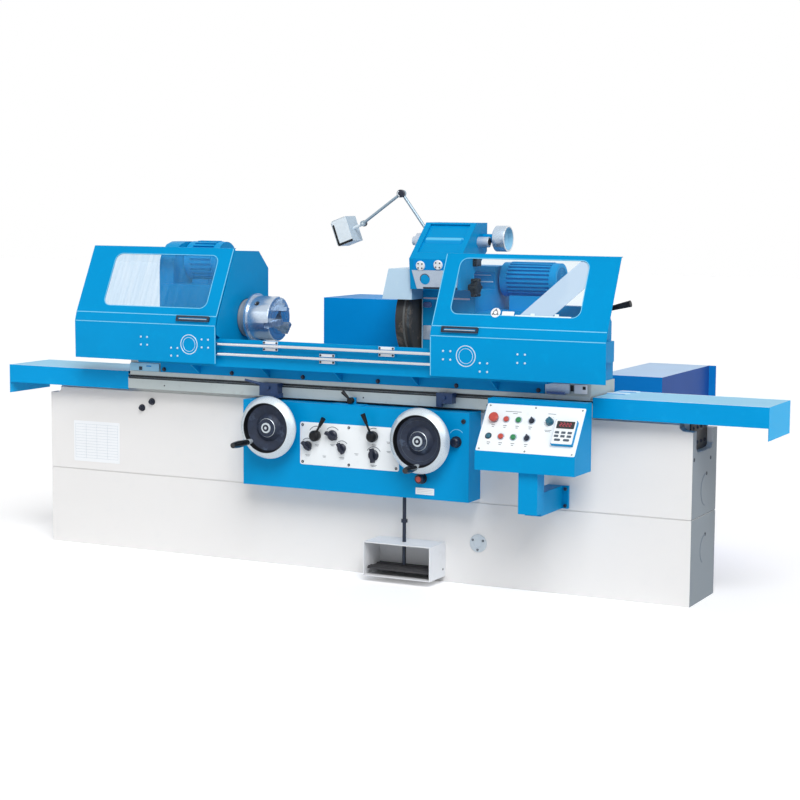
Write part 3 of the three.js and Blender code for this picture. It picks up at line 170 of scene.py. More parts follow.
def pane_finish(name, haze, tint, clear_tint, glare=None):
    """Clear sheet: mostly see-through, with faint reflection, haze, fine streaks and a slanting glare."""
    made, tree, shader = new_material(name)
    coords = object_coords(tree)
    streaks = noise(tree, coords, 60.0, 4.0, 0.6, (1.0, 0.06, 0.06))
    relief = node(tree, "ShaderNodeBump", Strength=0.01, Distance=0.0002, Height=streaks)
    for socket, value in (("Base Color", srgb(*tint)), ("Specular IOR Level", 0.3),
                          ("Roughness", ranged(tree, streaks, NOISE_LOW, NOISE_HIGH, 0.04, 0.16)),
                          ("Normal", relief.outputs["Normal"])):
        plug(tree, shader.inputs[socket], value)
    glance = node(tree, "ShaderNodeFresnel", IOR=1.2).outputs["Fac"]
    clouded = ranged(tree, streaks, NOISE_LOW, NOISE_HIGH, haze * 0.6, haze * 1.4)
    opaque = calculated(tree, "ADD", glance, clouded)
    if glare:
        low_edge, high_edge, slope, amount = glare
        soft_edge = 0.004
        spot = node(tree, "ShaderNodeSeparateXYZ", Vector=coords)
        slant = calculated(tree, "MULTIPLY_ADD", spot.outputs["Z"], slope, spot.outputs["X"])
        rising = ranged(tree, slant, low_edge, low_edge + soft_edge, 0.0, 1.0)
        falling = ranged(tree, slant, high_edge - soft_edge, high_edge, amount, 0.0)
        opaque = calculated(tree, "MAXIMUM", calculated(tree, "MULTIPLY", rising, falling), opaque)
    clear = node(tree, "ShaderNodeBsdfTransparent", Color=(*clear_tint, 1.0))
    blend = tree.nodes.new("ShaderNodeMixShader")
    for socket, value in zip(blend.inputs, (opaque, clear.outputs["BSDF"], shader.outputs["BSDF"])):
        plug(tree, socket, value)
    plug(tree, tree.nodes["Material Output"].inputs["Surface"], blend.outputs["Shader"])
    return made


# Finishes: colours are sRGB from 0 to 255, grain and patch are noise scales, round_edges is in metres
FINISHES = {
    "blue_paint": dict(colour=(0, 147, 208), rough=0.36, shine=0.07, spread=0.06, grain=700, bump=0.06,
        wear=(0, 158, 216), wear_amount=0.35, round_edges=0.0018),
    "white_paint": dict(colour=(226, 228, 231), rough=0.45, shine=0.25, spread=0.035, grain=600, bump=0.08,
        wear=(206, 207, 208), wear_amount=0.35, round_edges=0.0025),
    "motor_paint": dict(colour=(14, 158, 222), rough=0.42, shine=0.1, grain=500, bump=0.12,
        wear=(40, 170, 224), wear_amount=0.3, round_edges=0.0012),
    "wheel_metal": dict(colour=(208, 219, 226), rough=0.3, metallic=0.45, spread=0.04, grain=1200,
        stretch=(1, 0.1, 1), bump=0.02, wear=(196, 206, 212), wear_amount=0.25, round_edges=0.0012),
    "polished_steel": dict(colour=(196, 208, 222), rough=0.3, metallic=0.35, spread=0.05, grain=1500,
        stretch=(1, 0.05, 0.05), bump=0.015, wear=(168, 182, 200), wear_amount=0.2, round_edges=0.001),
    "chrome": dict(colour=(222, 226, 230), rough=0.12, metallic=1.0, spread=0.05, grain=1400,
        stretch=(0.05, 1, 1), bump=0.02, wear=(190, 193, 197), wear_amount=0.2),
    "lamp_tube": dict(colour=(150, 170, 184), rough=0.3, metallic=0.4, spread=0.04, grain=1200, bump=0.01,
        wear=(120, 142, 160), wear_amount=0.3),
    # lamp_shell: painted shade, the side that faces x is darker
    "lamp_shell": dict(colour=(230, 240, 246), rough=0.45, shine=0.15, spread=0.015, bump=0.01,
        wear=(204, 220, 232), wear_amount=0.2, round_edges=0.002, sides={"X": (190, 208, 222)}),
    "dark_metal": dict(colour=(44, 52, 68), rough=0.4, metallic=0.5, spread=0.25, bump=0.12,
        wear=(120, 126, 134), wear_amount=0.45, round_edges=0.0012),
    "cast_grey": dict(colour=(150, 155, 160), rough=0.5, metallic=0.5, spread=0.14, grain=800, bump=0.15,
        wear=(108, 104, 98), wear_amount=0.4, round_edges=0.0015),
    "navy_plastic": dict(colour=(24, 32, 52), rough=0.38, metallic=0.1, spread=0.2, bump=0.08,
        wear=(70, 82, 104), wear_amount=0.4, round_edges=0.001),
    "black_plastic": dict(colour=(14, 16, 20), rough=0.4, shine=0.25, spread=0.25, grain=1000, bump=0.08,
        wear=(52, 56, 62), wear_amount=0.4, round_edges=0.001),
    "pedal_rubber": dict(colour=(50, 50, 54), rough=0.75, spread=0.25, grain=600, bump=0.3,
        wear=(84, 82, 78), wear_amount=0.5, round_edges=0.0012),
    "red_plastic": dict(colour=(190, 66, 54), rough=0.3, coat=0.3, bump=0.03, wear=(150, 30, 26),
        wear_amount=0.3, round_edges=0.001),
    "green_plastic": dict(colour=(22, 128, 74), rough=0.3, coat=0.3, bump=0.03, wear=(18, 100, 60),
        wear_amount=0.3, round_edges=0.001),
    "teal_plastic": dict(colour=(24, 96, 118), rough=0.32, coat=0.2, spread=0.12, bump=0.04,
        wear=(18, 70, 90), wear_amount=0.3, round_edges=0.001),
    "abrasive": dict(colour=(66, 66, 66), rough=0.92, spread=0.4, patch=9, grain=420, stretch=(0.25, 1, 1),
        bump=0.9, wear=(136, 122, 110), wear_amount=0.55),
    "deep_blue": dict(colour=(0, 146, 222), rough=0.4, shine=0.08, spread=0.07, grain=700, bump=0.06,
        wear=(6, 154, 226), wear_amount=0.25, round_edges=0.0018),
    # tank_blue: painted shade on the side that faces x, painted highlight on the top
    "tank_blue": dict(colour=(12, 124, 204), rough=0.4, shine=0.1, spread=0.08, grain=700, bump=0.06,
        wear=(24, 140, 212), wear_amount=0.3, round_edges=0.0018,
        sides={"X": (28, 74, 150), "Z": (176, 206, 238)}),
    # arm_bulge: painted highlight, the top of the bar is paler
    "arm_bulge": dict(colour=(0, 150, 213), rough=0.34, shine=0.2, spread=0.05, grain=700,
        wear=(20, 166, 224), wear_amount=0.3, sides={"Z": (96, 196, 238)}),
    "cup_steel": dict(colour=(196, 212, 228), rough=0.25, metallic=0.75, spread=0.08, grain=1300,
        stretch=(0.05, 1, 1), bump=0.02, wear=(140, 160, 186), wear_amount=0.4),
    "table_pale": dict(colour=(186, 196, 196), rough=0.42, metallic=0.3, spread=0.08, grain=1400,
        stretch=(0.02, 1, 1), bump=0.06, wear=(146, 150, 148), wear_amount=0.35, round_edges=0.0012),
    # tray_blue: painted highlight, the tops paler and the ends that face x lighter
    "tray_blue": dict(colour=(0, 152, 216), rough=0.36, shine=0.08, spread=0.05, grain=700,
        wear=(20, 166, 224), wear_amount=0.3, round_edges=0.0018,
        sides={"Z": (140, 208, 240), "X": (30, 182, 244)}),
    # bed_white: painted shade, the faces that look along x, the right end among them, are grey
    "bed_white": dict(colour=(230, 229, 228), rough=0.45, shine=0.25, spread=0.02, patch=1.2, grain=600,
        wear=(222, 223, 224), wear_amount=0.25, round_edges=0.0025, sides={"X": (132, 142, 150)}),
    "dog_blue": dict(colour=(28, 58, 100), rough=0.34, metallic=0.2, spread=0.3, patch=22, bump=0.1,
        wear=(70, 130, 190), wear_amount=0.6, round_edges=0.001),
    "arm_silver": dict(colour=(190, 204, 220), rough=0.3, metallic=0.3, spread=0.04, grain=1200, bump=0.03,
        wear=(170, 186, 206), wear_amount=0.3),
    "arm_cyan": dict(colour=(150, 205, 232), rough=0.34, spread=0.07, patch=14, grain=1200, bump=0.03,
        wear=(190, 226, 242), wear_amount=0.4),
    "block_violet": dict(colour=(84, 112, 170), rough=0.4, wear=(120, 140, 190), wear_amount=0.3),
    "pale_pink": dict(colour=(226, 214, 232), rough=0.4, spread=0.04, bump=0.03),
    # Painted highlights: pale lines along lit edges and tops
    "highlight_white": dict(colour=(226, 244, 252), rough=0.3, spread=0.05, bump=0.03),
    "slot_black": dict(colour=(34, 42, 50), rough=0.5, spread=0.3, patch=6, bump=0.1, wear=(110, 120, 124),
        wear_amount=0.5),
    "panel_white": dict(colour=(238, 243, 246), rough=0.36, spread=0.03, bump=0.04, wear=(205, 214, 222),
        wear_amount=0.3),
    "jaw_steel": dict(colour=(168, 190, 214), rough=0.22, metallic=0.7, spread=0.2, grain=1200, bump=0.06,
        wear=(70, 84, 104), wear_amount=0.6, round_edges=0.001),
    "seam_blue": dict(colour=(0, 92, 150), rough=0.5, shine=0.1, spread=0.08, grain=700),
    "end_line": dict(colour=(112, 124, 136), rough=0.5, spread=0.06, grain=600),
    # Painted highlights: pale cyan lines along bends and edges
    "highlight_cyan": dict(colour=(120, 205, 238), rough=0.35, spread=0.06, bump=0.03),
    "bolt_white": dict(colour=(206, 226, 238), rough=0.35, metallic=0.3, spread=0.08, wear=(150, 170, 186),
        wear_amount=0.3),
    "print_grey": dict(colour=(70, 82, 96), rough=0.5, spread=0.12, bump=0.04),
    "print_pale": dict(colour=(196, 206, 214), rough=0.5, spread=0.08, bump=0.04),
    "dish_dark": dict(colour=(30, 42, 64), rough=0.6, metallic=0.1, spread=0.35, patch=40, grain=500,
        bump=0.5, wear=(96, 114, 140), wear_amount=0.5),
    "band_grey": dict(colour=(104, 106, 106), rough=0.9, spread=0.3, patch=12, grain=420, bump=0.6,
        wear=(64, 62, 60), wear_amount=0.8),
    "chuck_steel": dict(colour=(192, 206, 222), rough=0.2, metallic=0.85, spread=0.06, grain=1500,
        stretch=(1, 0.05, 0.05), bump=0.015, wear=(140, 156, 178), wear_amount=0.3, round_edges=0.001),
    # guard_pale: painted shade, the side that faces x is darker
    "guard_pale": dict(colour=(196, 224, 243), rough=0.4, shine=0.2, spread=0.04, grain=700, bump=0.04,
        wear=(214, 234, 246), wear_amount=0.3, round_edges=0.0018, sides={"X": (140, 186, 214)}),
    "head_blue": dict(colour=(10, 154, 216), rough=0.4, shine=0.1, grain=600, bump=0.08,
        wear=(40, 170, 224), wear_amount=0.3, round_edges=0.0018),
    "screen_black": dict(colour=(16, 14, 18), rough=0.15, coat=0.5, spread=0.2, bump=0.02),
    "display_red": dict(colour=(232, 70, 92), rough=0.3, bump=0.02),
    "label_white": dict(colour=(238, 241, 244), rough=0.4, spread=0.03, bump=0.03),
    "grip_black": dict(colour=(20, 22, 26), rough=0.22, coat=0.4, spread=0.2, bump=0.03, wear=(52, 56, 62),
        wear_amount=0.3),
    "brass": dict(colour=(176, 150, 88), rough=0.35, metallic=0.8, spread=0.12),
}
paint = {name: finish(name, **settings) for name, settings in FINISHES.items()}
# The glare's edges are values of x + slope * z in metres; its last number is its strength
RIGHT_PANE_GLARE = (-0.291, -0.144, -1.0, 0.8)
paint["window"] = pane_finish("window", 0.006, (200, 222, 242), (0.93, 0.97, 0.99), RIGHT_PANE_GLARE)
paint["window_left"] = pane_finish("window_left", 0.13, (96, 184, 230), (0.92, 0.96, 0.99))

# The frame's own nodes keep the finish that the CAD names, except these
OWN_FINISH = {
    "bed": "bed_white",
    "chuck": "chuck_steel",
    "dog_left": "dog_blue",
    "dog_right": "dog_blue",
    "electric_cabinet": "deep_blue",
    "hydraulic_tank": "tank_blue",
    "jaw_1": "jaw_steel",
    "jaw_2": "jaw_steel",
    "jaw_3": "jaw_steel",
    "lower_table": "table_pale",
    "pedal_rod": "dark_metal",
    "tray_left": "tray_blue",
    "tray_right": "tray_blue",
    "upper_table": "table_pale",
    "wheel_guard": "guard_pale",
    "wheelhead": "head_blue",
    "window_left": "window_left",
    "workhead": "head_blue",
}
for name, item in nodes.items():
    cad_finish = item.data.materials[0].name.split(".")[0]
    item.data.materials.clear()
    item.data.materials.append(paint[OWN_FINISH.get(name, cad_finish)])


# Rounded shading of the frame's own nodes: welded, and sharp only over thirty degrees
def smooth_group():
    group = bpy.data.node_groups.new("smooth_by_angle", "GeometryNodeTree")
    for way in ("INPUT", "OUTPUT"):
        group.interface.new_socket("Geometry", in_out=way, socket_type="NodeSocketGeometry")
    start = group.nodes.new("NodeGroupInput").outputs[0]
    end = group.nodes.new("NodeGroupOutput").inputs[0]
    merged = node(group, "GeometryNodeMergeByDistance", Geometry=start, Distance=0.00001)
    faces = node(group, "GeometryNodeSetShadeSmooth", Geometry=merged.outputs["Geometry"])
    faces.domain = "FACE"
    angle = group.nodes.new("GeometryNodeInputMeshEdgeAngle").outputs["Unsigned Angle"]
    sharper = group.nodes.new("FunctionNodeCompare")
    sharper.data_type = "FLOAT"
    sharper.operation = "GREATER_THAN"
    plug(group, sharper.inputs[0], angle)
    plug(group, sharper.inputs[1], math.radians(30))
    edges = node(group, "GeometryNodeSetShadeSmooth", Geometry=faces.outputs["Geometry"],
                 Selection=sharper.outputs["Result"], Shade_Smooth=False)
    edges.domain = "EDGE"
    plug(group, end, edges.outputs["Geometry"])
    return group


smoothing = smooth_group()
for item in nodes.values():
    item.modifiers.new("smooth", "NODES").node_group = smoothing

MM = 0.001


# Local frames: a flat place on the machine, with u and v along it and w out of it, in millimetres
class Place:
    def __init__(self, origin, across, up):
        self.origin = Vector(origin)
        self.across = Vector(across).normalized()
        self.up = Vector(up).normalized()
        self.out = self.across.cross(self.up)

    def at(self, u, v, w=0.0):
        return (self.origin + self.across * u + self.up * v + self.out * w) * MM


def front(y):
    return Place((0, y, 0), (1, 0, 0), (0, 0, 1))


def back(y):
    return Place((0, y, 0), (-1, 0, 0), (0, 0, 1))


def top(z):
    return Place((0, 0, z), (1, 0, 0), (0, 1, 0))


def right(x):
    return Place((x, 0, 0), (0, 1, 0), (0, 0, 1))


def left(x):
    return Place((x, 0, 0), (0, -1, 0), (0, 0, 1))


# Outlines and points
def around(u, v, radius, angles):
    """Points on a circle, at angles in radians."""
    return [(u + radius * math.cos(angle), v + radius * math.sin(angle)) for angle in angles]


def circle_outline(u, v, radius, steps):
    return around(u, v, radius, [2 * math.pi * n / steps for n in range(steps)])


def rounded_outline(u0, u1, v0, v1, radius, steps=5):
    points = []
    for centre, start in (((u1 - radius, v0 + radius), -90), ((u1 - radius, v1 - radius), 0),
                          ((u0 + radius, v1 - radius), 90), ((u0 + radius, v0 + radius), 180)):
        points += around(*centre, radius, [math.radians(start + 90 * n / steps) for n in range(steps + 1)])
    return points


def bow(u, v, radius, start, end, steps):
    """Points along an arc, between two angles in degrees."""
    return around(u, v, radius, [math.radians(start + (end - start) * n / steps) for n in range(steps + 1)])


# Solids, each as (corner points in metres, faces)
def band(first, second, count):
    """Faces between two closed rows of corners."""
    faces = []
    for n in range(count):
        after = (n + 1) % count
        faces.append((first + n, first + after, second + after, second + n))
    return faces


def slab(place, outline, low, high):
    count = len(outline)
    points = [place.at(u, v, w) for w in (low, high) for u, v in outline]
    caps = [tuple(range(count - 1, -1, -1)), tuple(range(count, 2 * count))]
    return points, caps + band(0, count, count)


def frame_slab(place, outer, inner, low, high):
    count = len(outer)
    points = [place.at(u, v, w) for w in (low, high) for outline in (outer, inner) for u, v in outline]
    return points, (band(count, 0, count) + band(2 * count, 3 * count, count)
                    + band(0, 2 * count, count) + band(3 * count, count, count))


def turned_rows(place, u, v, profile, steps):
    return [place.at(*spot, height) for radius, height in profile
            for spot in circle_outline(u, v, radius, steps)]


def spun(place, u, v, profile, steps=24):
    """Profile of (radius, height) pairs, from the base to the top; its ends are closed flat."""
    last = (len(profile) - 1) * steps
    faces = [tuple(range(steps - 1, -1, -1)), tuple(range(last, last + steps))]
    for row in range(len(profile) - 1):
        faces += band(row * steps, (row + 1) * steps, steps)
    return turned_rows(place, u, v, profile, steps), faces


def ring(place, u, v, profile, steps=36):
    """Closed (radius, height) profile turned round the place's normal."""
    rows = len(profile)
    faces = []
    for row in range(rows):
        faces += band(row * steps, (row + 1) % rows * steps, steps)
    return turned_rows(place, u, v, profile, steps), faces


def flat_ring(place, u, v, inner, outer, low, high, steps=36):
    edge = min(0.4, (outer - inner) / 4)
    return ring(place, u, v, [(outer, low), (outer, high - edge), (outer - edge, high),
                              (inner + edge, high), (inner, high - edge), (inner, low)], steps)


def arc_band(place, u, v, radius, width, start, end, low, high, steps=14):
    outline = bow(u, v, radius + width / 2, start, end, steps)
    outline += reversed(bow(u, v, radius - width / 2, start, end, steps))
    return slab(place, outline, low, high)


# Heights over the surface that carries a plate: the back of most plates lies a little inside it
SUNK = -0.5
PANEL_HIGH = 1.6
PRINT_LOW, PRINT_HIGH = 1.2, 1.9


def plate(place, u0, u1, v0, v1, corner, high, low=SUNK, steps=5):
    """A flat plate with rounded corners."""
    return slab(place, rounded_outline(u0, u1, v0, v1, corner, steps), low, high)


def printed(place, u, v, length, height, corner=0.7):
    """A printed line on a panel, centred on u, with its lower edge at v."""
    return plate(place, u - length / 2, u + length / 2, v, v + height, corner, PRINT_HIGH, PRINT_LOW, 2)


def screw(place, u, v, radius, height):
    """A round head with a hollow in it."""
    hollow = radius * 0.5
    return spun(place, u, v, [(radius, -1), (radius, height * 0.7), (radius * 0.86, height),
                              (hollow, height), (hollow, height * 0.35), (hollow * 0.3, height * 0.3)], 18)


def screws(place, spots, radius, height):
    return [screw(place, u, v, radius, height) for u, v in spots]


def hexagon(place, u, v, radius, height):
    """A hexagon head on a thin washer."""
    washer = [(radius * 1.25, -1), (radius * 1.25, height * 0.15), (radius * 1.2, height * 0.2)]
    head = [(radius, height * 0.1), (radius, height * 0.85), (radius * 0.85, height)]
    return [spun(place, u, v, washer, 18), spun(place, u, v, head, 6)]


def louvres(place, u0, u1, lowest, count):
    """A column of low rounded strips."""
    pitch, tall, proud = 16, 7, 3.4
    heights = [lowest + pitch * n for n in range(count)]
    return [plate(place, u0, u1, v, v + tall, 3, proud, steps=3) for v in heights]


def cover(place, u0, u1, v0, v1):
    """A plate with rounded corners, and a screw in each corner and midway along its long sides."""
    thick, inset = 2.4, 14
    spots = [(u, v) for u in (u0 + inset, (u0 + u1) / 2, u1 - inset) for v in (v0 + inset, v1 - inset)]
    return plate(place, u0, u1, v0, v1, 8, thick), screws(place, spots, 6, thick + 3.6)


def piece(name, body, parts, bevel=0.0):
    """One object made of (solid or list of solids, finish) pairs, which rides on a body."""
    mesh = bpy.data.meshes.new(name)
    made = bmesh.new()
    finishes = []
    for solids, look in parts:
        if look not in finishes:
            finishes.append(look)
        index = finishes.index(look)
        for points, faces in ([solids] if isinstance(solids, tuple) else solids):
            corners = [made.verts.new(p) for p in points]
            for face in faces:
                made.faces.new([corners[n] for n in face]).material_index = index
    bmesh.ops.recalc_face_normals(made, faces=made.faces)
    if bevel:
        sharp = [e for e in made.edges
                 if len(e.link_faces) == 2 and e.calc_face_angle(0) > math.radians(35)]
        bmesh.ops.bevel(made, geom=sharp, offset=bevel * MM, segments=2, profile=0.5, affect="EDGES",
                        clamp_overlap=True)
    for face in made.faces:
        face.smooth = True
    made.to_mesh(mesh)
    made.free()
    mesh.set_sharp_from_angle(angle=math.radians(32))
    for look in finishes:
        mesh.materials.append(paint[look])
    item = bpy.data.objects.new(name, mesh)
    bpy.context.scene.collection.objects.link(item)
    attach(item, body)


# The pieces: their coordinates are millimetres in the machine's frame, or u and v on a sloping sheet

# Apron: plate with its screws and printed marks, label, ring of the fine feed knob
apron = front(-280)
left_edge, right_edge, low_edge, high_edge = -156, 323, 478, 663
piece("apron_plate", "base", [
    (plate(apron, left_edge, right_edge, low_edge, high_edge, 10, PANEL_HIGH), "panel_white"),
], bevel=0.5)
spots = [(u, v) for u in (left_edge + 13, (left_edge + right_edge) / 2, right_edge - 13)
         for v in (low_edge + 12, high_edge - 12)]
piece("apron_plate_screws", "base", [(screws(apron, spots, 6, 4.2), "navy_plastic")])
marks = []
for u, v, radius, start, end in ((4, 613, 36, 40, 140), (-118, 561, 32, 40, 140), (50, 560, 32, 40, 140),
                                 (203, 540, 36, 30, 150), (-73, 608, 40, 60, 150), (204, 622, 34, 70, 160)):
    marks.append(arc_band(apron, u, v, radius, 2.6, start, end, PRINT_LOW, PRINT_HIGH))
for u, v, length in ((-118, 520, 26), (50, 518, 26), (4, 572, 24), (203, 496, 30), (-73, 566, 22),
                     (204, 584, 22), (-36, 520, 18), (120, 540, 20), (275, 600, 22), (275, 560, 22)):
    marks += [printed(apron, u, v, length, 1.6), printed(apron, u, v - 5, length * 0.7, 1.6)]
piece("apron_marks", "base", [(marks, "print_grey")])
piece("apron_extras", "base", [
    # Pale cyan arc: painted highlight
    (arc_band(apron, 590, 640, 34, 3.0, 40, 150, SUNK, 0.8), "highlight_cyan"),
    (screw(apron, 621, 709, 10, 6), "navy_plastic"),
    (plate(apron, 402, 488, 389, 417, 2, 1.2), "label_white"),
])
piece("apron_label_lines", "base", [
    ([plate(apron, 408, 482, v, v + 1.6, 0.6, 1.6, 0.9, 2) for v in (395, 402, 409)], "print_pale"),
])
piece("fine_feed_ring", "fine_feed_knob", [
    (spun(front(-316.2), 431, 458, [(12, -0.6), (12, 0.8), (10, 1.6), (4, 1.8)]), "red_plastic"),
])

# Bed front: specification plate, plugs, flange
bed_front = front(-160)
lines = []
for row in range(13):
    v = 566 - row * 13.2
    lines.append(plate(bed_front, -1432, -1193, v, v + 1.1, 0.5, 1.35, 0.8, 2))
for u in (-1432, -1372, -1312, -1252, -1194):
    lines.append(plate(bed_front, u, u + 1.1, 408, 567, 0.5, 1.3, 0.8, 2))
piece("spec_plate", "base", [
    (plate(bed_front, -1441, -1184, 391, 581, 4, 1.0), "label_white"),
    (lines, "print_pale"),
])
plugs = []
for u, v in ((-1056, 661), (-1002, 692)):
    plugs += hexagon(bed_front, u, v, 13, 16)
    plugs.append(spun(bed_front, u, v, [(7, 14), (7, 22), (5, 24)], 18))
piece("bed_plugs", "base", [(plugs, "navy_plastic")])
flange_at = (640, 180)
flange = [(38, -1), (38, 5), (36, 7), (20, 7.4), (18, 4), (6, 4)]
piece("bed_flange", "base", [
    (spun(bed_front, *flange_at, flange, 48), "print_pale"),
    (screws(bed_front, around(*flange_at, 27, (0.5, 2.6, 4.7)), 5, 9.5), "navy_plastic"),
])

# Bed's right end: cover plate in the notch, round covers and two arcs
bed_end = right(1570)
notch = right(1540)
piece("end_notch_plate", "base", [
    (plate(notch, -112, 102, 624, 744, 5, 6), "black_plastic"),
    (screws(notch, [(u, v) for u in (-80, -30, 20, 70) for v in (655, 715)], 8, 10), "dark_metal"),
], bevel=0.8)
piece("end_lifting_arcs", "base", [
    ([arc_band(bed_end, 25, 457, 66, 5, 96, 262, SUNK, 1.4, 16),
      arc_band(bed_end, 22, 210, 58, 5, 88, 240, SUNK, 1.4, 16)], "end_line"),
    ([spun(bed_end, u, v, [(8, -1), (8, 1), (5, 1.2), (5, 0.4)], 20)
      for u, v in ((-139, 596), (79, 580), (30, 521), (27, 270))], "dark_metal"),
])

# Console: white panel, screws, bezels, pilot lamp, printed marks, display unit
SLOPE = (0, 128, 183)
panel = Place((0, -500, 623), (1, 0, 0), SLOPE)
piece("console_panel", "base", [(plate(panel, 773, 1198, 3, 220, 6, PANEL_HIGH), "panel_white")], bevel=0.5)
spots = [(u, v) for u in (787, 985, 1185) for v in (12, 210)]
piece("console_screws", "base", [(screws(panel, spots, 3.6, 3), "navy_plastic")])
bezels = []
for u, v, radius in ((872, 150, 14.5), (925, 150, 14.5), (868, 71, 14.5), (922, 71, 14.5), (982, 150, 15),
                     (980, 71, 15), (821, 150, 17)):
    bezels.append(flat_ring(panel, u, v, radius - 3, radius + 1.5, 0.5, 3.2, 30))
pilot_at = (813, 71)
piece("console_bezels", "base", [
    (bezels, "polished_steel"),
    (spun(panel, *pilot_at, [(11, SUNK), (11, 3), (9, 7.5), (4, 9)]), "teal_plastic"),
    (flat_ring(panel, *pilot_at, 11.2, 14, 0.5, 3.4, 30), "navy_plastic"),
])
labels = []
for u in (821, 872, 925, 982):
    for v, length in ((121, 16), (113, 10), (42, 16), (34, 10)):
        labels.append(printed(panel, u, v, length, 2.4, 1))
for u, v, length in ((894, 186, 70), (903, 178, 20), (1060, 186, 34), (1060, 112, 30), (1060, 106, 22)):
    labels.append(printed(panel, u, v, length, 2))
dial_angles = [math.radians(90 - angle) for angle in range(-120, 121, 24)]
for u, v in around(1060, 150, 23, dial_angles):
    labels.append(slab(panel, circle_outline(u, v, 1.1, 8), PRINT_LOW, PRINT_HIGH))
piece("console_marks", "base", [(labels, "print_grey")])

unit = Place(panel.at(0, 0, 20) / MM, (1, 0, 0), SLOPE)
keys = []
for v, columns, half_width, corner in ((97, (1109, 1136, 1163), 9, 2), (81, (1109, 1136, 1163), 9, 2),
                                       (64, (1117, 1155), 13, 5)):
    for u in columns:
        keys.append(plate(unit, u - half_width, u + half_width, v - 5, v + 5, corner, 2.2, 0.4, 4))
STROKE = 1.6
digit_strokes = ((0, 0, 6, STROKE), (0, 7, 6, STROKE), (0, 14, 6, STROKE), (-1.6, 1.2, STROKE, 6),
                 (6, 8, STROKE, 6))
digits = []
for u in (1114, 1127, 1140, 1153):
    for du, dv, wide, tall in digit_strokes:
        u0, v0 = u + du, 125 + dv
        u1, v1 = u0 + wide, v0 + tall
        digits.append(slab(unit, [(u0, v0), (u1, v0), (u1, v1), (u0, v1)], 1.6, 2.1))
piece("display_face", "base", [
    (plate(unit, 1092.6, 1181.4, 46.6, 153.4, 5, 1.0), "panel_white"),
    (plate(unit, 1100, 1175, 115, 148, 3, 1.8, 0.5), "screen_black"),
    (digits, "display_red"),
    (keys, "print_grey"),
])
arm_front = front(-176)
arm_bolt = [(8, -1), (8, 6), (6.5, 8), (4, 8)]
piece("console_arm_bolts", "base", [
    ([spun(arm_front, 1036, v, arm_bolt, 6) for v in (444, 374)], "navy_plastic"),
])

# Handwheels: dark dish that follows the turned shape, dark hub with a bright ring, black grip
HANDWHEEL_BACK = -280
dish = front(HANDWHEEL_BACK - 70)
GRIP_START = 96
INFEED_AT = (448, 624)
for name, centre, radius, grip_angle, grip_length in (("traverse", (-280, 636), 136.5, 218, 120),
                                                      ("infeed", INFEED_AT, 139, 268, 92)):
    body = name + "_handwheel"
    inner = radius * 0.76
    rim = radius * 0.795
    floor_of_dish = [(inner - 1.5, -0.6), (inner - 1.5, 0.9), (61, -12.0), (41, 5.2), (40, 4.0), (60, -13.6)]
    wall_of_dish = [(inner + 0.3, SUNK), (rim, 19.0), (rim - 2.6, 19.0), (inner - 4.5, 1.4),
                    (inner - 4.5, SUNK)]
    hub = [(40, 3), (39, 8.9), (22.6, 8.9), (22.6, 6), (30, 3)]
    piece(name + "_dish", body, [
        (ring(dish, *centre, floor_of_dish, 64), "dish_dark"),
        (ring(dish, *centre, wall_of_dish, 64), "black_plastic"),
        (ring(dish, *centre, hub, 48), "dish_dark"),
        (spun(dish, *centre, [(15, 13.5), (15, 14.8), (13, 15.2)], 36), "navy_plastic"),
        (spun(dish, *centre, [(6, 14.5), (6, 16.4), (4, 17)]), "print_pale"),
    ])
    grip_at = around(*centre, radius * 0.79, [math.radians(grip_angle)])[0]
    grip = [(8, GRIP_START - 0.6), (11.8, GRIP_START - 0.6), (14.2, GRIP_START + grip_length * 0.3),
            (15.9, GRIP_START + grip_length * 0.6), (14.4, GRIP_START + grip_length * 0.85),
            (11.8, GRIP_START + grip_length + 0.8), (7, GRIP_START + grip_length + 1.4)]
    piece(name + "_grip", body, [(spun(front(HANDWHEEL_BACK), *grip_at, grip), "grip_black")])
piece("infeed_dial_rings", "infeed_handwheel", [
    (flat_ring(dish, *INFEED_AT, 86, 87.4, -4.6, -2.9, 56), "print_grey"),
])

# Splash guard: flange bolts, clips of the rails
table_front = front(-220)
flange_bolts = []
for u in (-895, -538, -177, 190, 558, 928):
    flange_bolts += hexagon(table_front, u, 850, 8, 9)
piece("flange_bolts", "swivel_table", [(flange_bolts, "navy_plastic")])
clip_face = front(-305)
clip_plates, clip_bolts = [], []
clip_bolt = [(4.4, 1), (4.4, 4), (3, 5)]
for u, rail_height in ((-290, 986), (273, 986), (-11, 943)):
    for v in (rail_height - 14.5, rail_height + 14.5):
        clip_plates.append(plate(clip_face, u - 37, u + 37, v - 6, v + 6, 2, 1.6, steps=3))
        clip_bolts += [spun(clip_face, side, v, clip_bolt, 12) for side in (u - 31, u + 31)]
piece("rail_clip_plates", "swivel_table", [(clip_plates, "label_white"), (clip_bolts, "navy_plastic")])

# Doors: bolts, plain rings, handles, and painted highlights along the crease lines, the edges and the window
# edges
DOOR_FOOT, DOOR_FOLD = 897, 1065
door_low = Place((0, -331, DOOR_FOOT), (1, 0, 0), (0, -2, 168))
door_mid = Place((0, -333, DOOR_FOLD), (1, 0, 0), (0, 13, 40))
door_slope = Place((0, -320, 1105), (1, 0, 0), (0, 148, 295))
DOORS = {
    "door_left": dict(
        span=(-1302, -553), bright_edge=(-557.0, -553.6), handle=(-756, -587), ring_at=(-690, 979),
        bolts_at=((-927, 986), (-767, 943), (-607, 986)), window=(-1166, -622, 38, 292)),
    "door_right": dict(
        span=(488, 1260), bright_edge=(488.6, 492.0), handle=(539, 703), ring_at=(651, 986),
        bolts_at=((565, 986), (731, 943), (897, 986)), window=(560, 1130, 58, 308)),
}
bolt = [(4.6, SUNK), (4.6, 1.6), (3.4, 3.0), (1.6, 2.6)]
